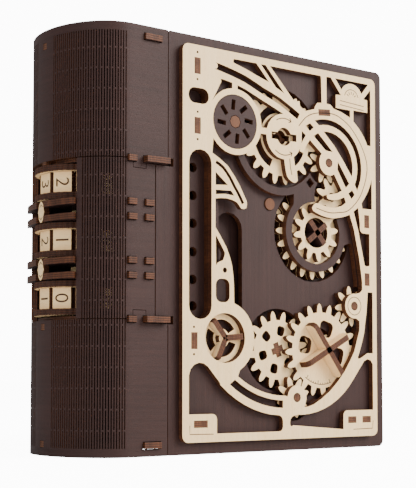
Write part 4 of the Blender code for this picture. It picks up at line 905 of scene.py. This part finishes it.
def makeEngraving():
    front = layoutBox("tracery")[0][1]
    ring = [(71.6, 151.1), (76.4, 156.0), (82.7, 158.6), (92.3, 159.5), (98.6, 157.9), (105.5, 153.4)]
    ring += [(112.3, 144.7), (115.2, 134.7), (110.9, 122.0), (103.2, 114.1), (96.4, 112.3), (90.0, 111.8)]
    lines = [(smoothRun(ring + [(82.3, 113.3)]), marks["line"])]
    corner = [(9.3, 12.7), (9.3, 9.0), (22.0, 8.8)]
    for foot in (corner, [(118.0, 12.7), (117.5, 9.0), (105.0, 8.8)]):
        lines.append((foot, marks["fine"]))
    eye = (middleOf("right_pinion_pin")[0], middleOf("right_pinion_pin")[2])
    lines.append((arcPoints(eye, eyeRadius, -120.0, 235.0, 24), marks["fine"]))
    lines.append(([(66.0, 135.0), (66.4, 131.0), (67.3, 127.5)], marks["line"]))
    lock = (middleOf("lock_pinion")[0], middleOf("lock_pinion")[2])
    lines += arrowArc(lock, arrowRadius, 122.0, 60.0) + arrowArc(lock, arrowRadius, 232.0, 304.0)
    lines.append((arcPoints(plaque["centre"], plaque["arch"], 15.0, 165.0, 10), marks["fine"]))
    for angle in plaque["rays"]:
        ray = [arcPoints(plaque["centre"], reach, angle, angle, 1)[0] for reach in (2.2, 3.6)]
        lines.append((ray, marks["fine"]))
    for low in plaque["rules"]:
        lines.append(([(97.6, low + 0.45), (105.3, low - 0.05), (113.2, low - 0.5)], marks["fine"]))
    engrave("engravedLines", lines, front, "cover")
    hub = (middleOf("knob_gear")[0], middleOf("knob_gear")[2])
    ticks = [(arcPoints(hub, dialTicks["radius"], 232.0, 292.0, 12), marks["fine"])]
    for i in range(dialTicks["count"]):
        angle = dialTicks["start"] + dialTicks["step"] * i
        reach = dialTicks["short"] if i % 5 else dialTicks["long"]
        ends = [arcPoints(hub, r, angle, angle, 1)[0] for r in (reach, dialTicks["radius"])]
        ticks.append((ends, marks["fine"]))
    engrave("knobTicks", ticks, layoutBox("knob_gear")[0][1], "knob")


makeTabEnds()
makeEngraving()
print("marks done")


pointer = {
    "steps": 60, "dent": 0.13, "waist": 0.62, "swell": 0.38, "signHalf": 1.1, "signFoot": 0.5, "signTip": 0.72,
}
noseTabs = {"levels": (126.9, 178.0, 55.2, 5.0), "half": 1.55, "inset": 0.08, "deep": 2.6}


def makePointers():
    # scalloped pointers between the wheels, with a chevron towards each wheel
    for node in ("pointer_low", "pointer_high"):
        low, high = layoutBox(node)
        wide, tall = (high[1] - low[1]) / 2, (high[2] - low[2]) / 2
        thick = high[0] - low[0]
        centre = ((low[1] + high[1]) / 2, (low[2] + high[2]) / 2)
        outline = []
        for i in range(pointer["steps"]):
            t = 2 * math.pi * i / pointer["steps"]
            dent = 1.0 - pointer["dent"] * abs(math.sin(4 * t))
            waist = pointer["waist"] + pointer["swell"] * abs(math.sin(t))
            outline.append((wide * math.cos(t) * dent, tall * math.sin(t) * waist))

        def placeAt(x, y, d):
            return spot(low[0] + d, centre[0] + x, centre[1] + y)

        def proudAt(x, y, d):
            return spot(low[0] - marks["lift"] + d, centre[0] + x, centre[1] + y)

        plate, signs = SheetStack(), SheetStack()
        plate.add(outline, [], thick, placeAt, flip=True)
        plate.make(f"pointerPlate.{node[8:]}", (bareFace, bareEdge), "case", "bare", (node,))
        half = pointer["signHalf"]
        for side in (-1, 1):
            signFoot = side * tall * pointer["signFoot"]
            chevron = [(-half, signFoot), (0.0, side * tall * pointer["signTip"]), (half, signFoot)]
            signs.add(ribbon(chevron, marks["line"]), [], marks["thick"], proudAt, flip=True)
        signs.make(f"pointerSigns.{node[8:]}", (engraved, engraved), "case", "edge_grain")


def makeNose():
    # tab ends flush with the bent spine's nose
    nose = spine["centreS"] - spine["bulge"]
    ends = SheetStack()
    half, front = noseTabs["half"], nose + noseTabs["inset"]
    for z in noseTabs["levels"]:
        outline = [(-half, 0.0), (half, 0.0), (half, ply), (-half, ply)]
        placeAt = lambda x, y, d, z=z: spot(front + d, midN + x, z - ply / 2 + y)
        ends.add(outline, [], noseTabs["deep"], placeAt, flip=True)
    ends.make("noseTabs", (tabEnd, tabEnd), "case", "edge_grain")


makePointers()
makeNose()
print("pointers and nose done")


# studio
studio = {"room": 0.62, "backdrop": 12.0, "floorGlow": 11.0, "floorReach": 6.0, "floorDrop": 0.0004}
keyLight = {"place": (0.75, -0.9, 0.75), "size": (0.9, 0.9), "power": 34.0, "colour": (1.0, 0.98, 0.95)}
fillLight = {"place": (-0.9, -0.7, 0.45), "size": (1.2, 1.2), "power": 6.0, "colour": (0.97, 0.98, 1.0)}
view = {
    "lens": 88.52, "film": 36.0, "shift": 0.13, "place": (-290.3, -427.3, 33.9),
    "ahead": (0.589, 0.808, 0.0), "tilt": 3.3,
}


def lamp(name, target, values):
    data = bpy.data.lights.new(name, "AREA")
    data.shape = "RECTANGLE"
    data.size, data.size_y = values["size"]
    data.energy = values["power"]
    data.color = values["colour"]
    light = bpy.data.objects.new(name, data)
    light.location = values["place"]
    light.rotation_euler = (Vector(target) - Vector(values["place"])).to_track_quat("-Z", "Y").to_euler()
    bpy.context.scene.collection.objects.link(light)


def makeFloor():
    material = bpy.data.materials.new("paleFloor")
    material.use_nodes = True
    tree = material.node_tree
    shader = tree.nodes["Principled BSDF"]
    coords = wire(tree, "ShaderNodeTexCoord")
    tone = noiseAt(tree, coords.outputs["Object"], (3.0, 3.0, 3.0), 1.0)
    colour = blendColour(tree, tone, (0.93, 0.93, 0.925, 1.0), (0.95, 0.95, 0.945, 1.0))
    tree.links.new(colour, shader.inputs["Base Color"])
    shader.inputs["Roughness"].default_value = 0.75
    shader.inputs["Emission Color"].default_value = (1.0, 1.0, 1.0, 1.0)
    path = wire(tree, "ShaderNodeLightPath")
    glow = number(tree, "MULTIPLY", path.outputs["Is Camera Ray"], studio["floorGlow"])
    tree.links.new(glow, shader.inputs["Emission Strength"])
    reach, level = studio["floorReach"], -studio["floorDrop"]
    points = [(-reach, -reach, level), (reach, -reach, level), (reach, reach, level), (-reach, reach, level)]
    makeObject("floor", points, [(0, 1, 2, 3)], (material,))


def makeWorld():
    world = bpy.data.worlds.new("softRoom")
    world.use_nodes = True
    bpy.context.scene.world = world
    tree = world.node_tree
    tree.nodes.clear()
    white = (1.0, 1.0, 1.0, 1.0)
    room = wire(tree, "ShaderNodeBackground", {"Color": white, "Strength": studio["room"]})
    bright = wire(tree, "ShaderNodeBackground", {"Color": white, "Strength": studio["backdrop"]})
    path = wire(tree, "ShaderNodeLightPath")
    values = {0: path.outputs["Is Camera Ray"], 1: room.outputs[0], 2: bright.outputs[0]}
    mixed = wire(tree, "ShaderNodeMixShader", values)
    wire(tree, "ShaderNodeOutputWorld", {"Surface": mixed.outputs[0]})


def makeCamera():
    data = bpy.data.cameras.new("camera")
    data.lens = view["lens"]
    data.sensor_width = view["film"]
    data.shift_y = view["shift"]
    camera = bpy.data.objects.new("camera", data)
    camera.location = spot(*view["place"])
    ahead = Vector(view["ahead"]).normalized()
    ahead.z = math.tan(math.radians(view["tilt"]))
    camera.rotation_euler = ahead.to_track_quat("-Z", "Y").to_euler()
    bpy.context.scene.collection.objects.link(camera)
    bpy.context.scene.camera = camera


makeFloor()
makeWorld()
makeCamera()
middle = (cadLow + cadHigh) / 2
lamp("keyLight", middle, keyLight)
lamp("fillLight", middle, fillLight)
print("studio done")
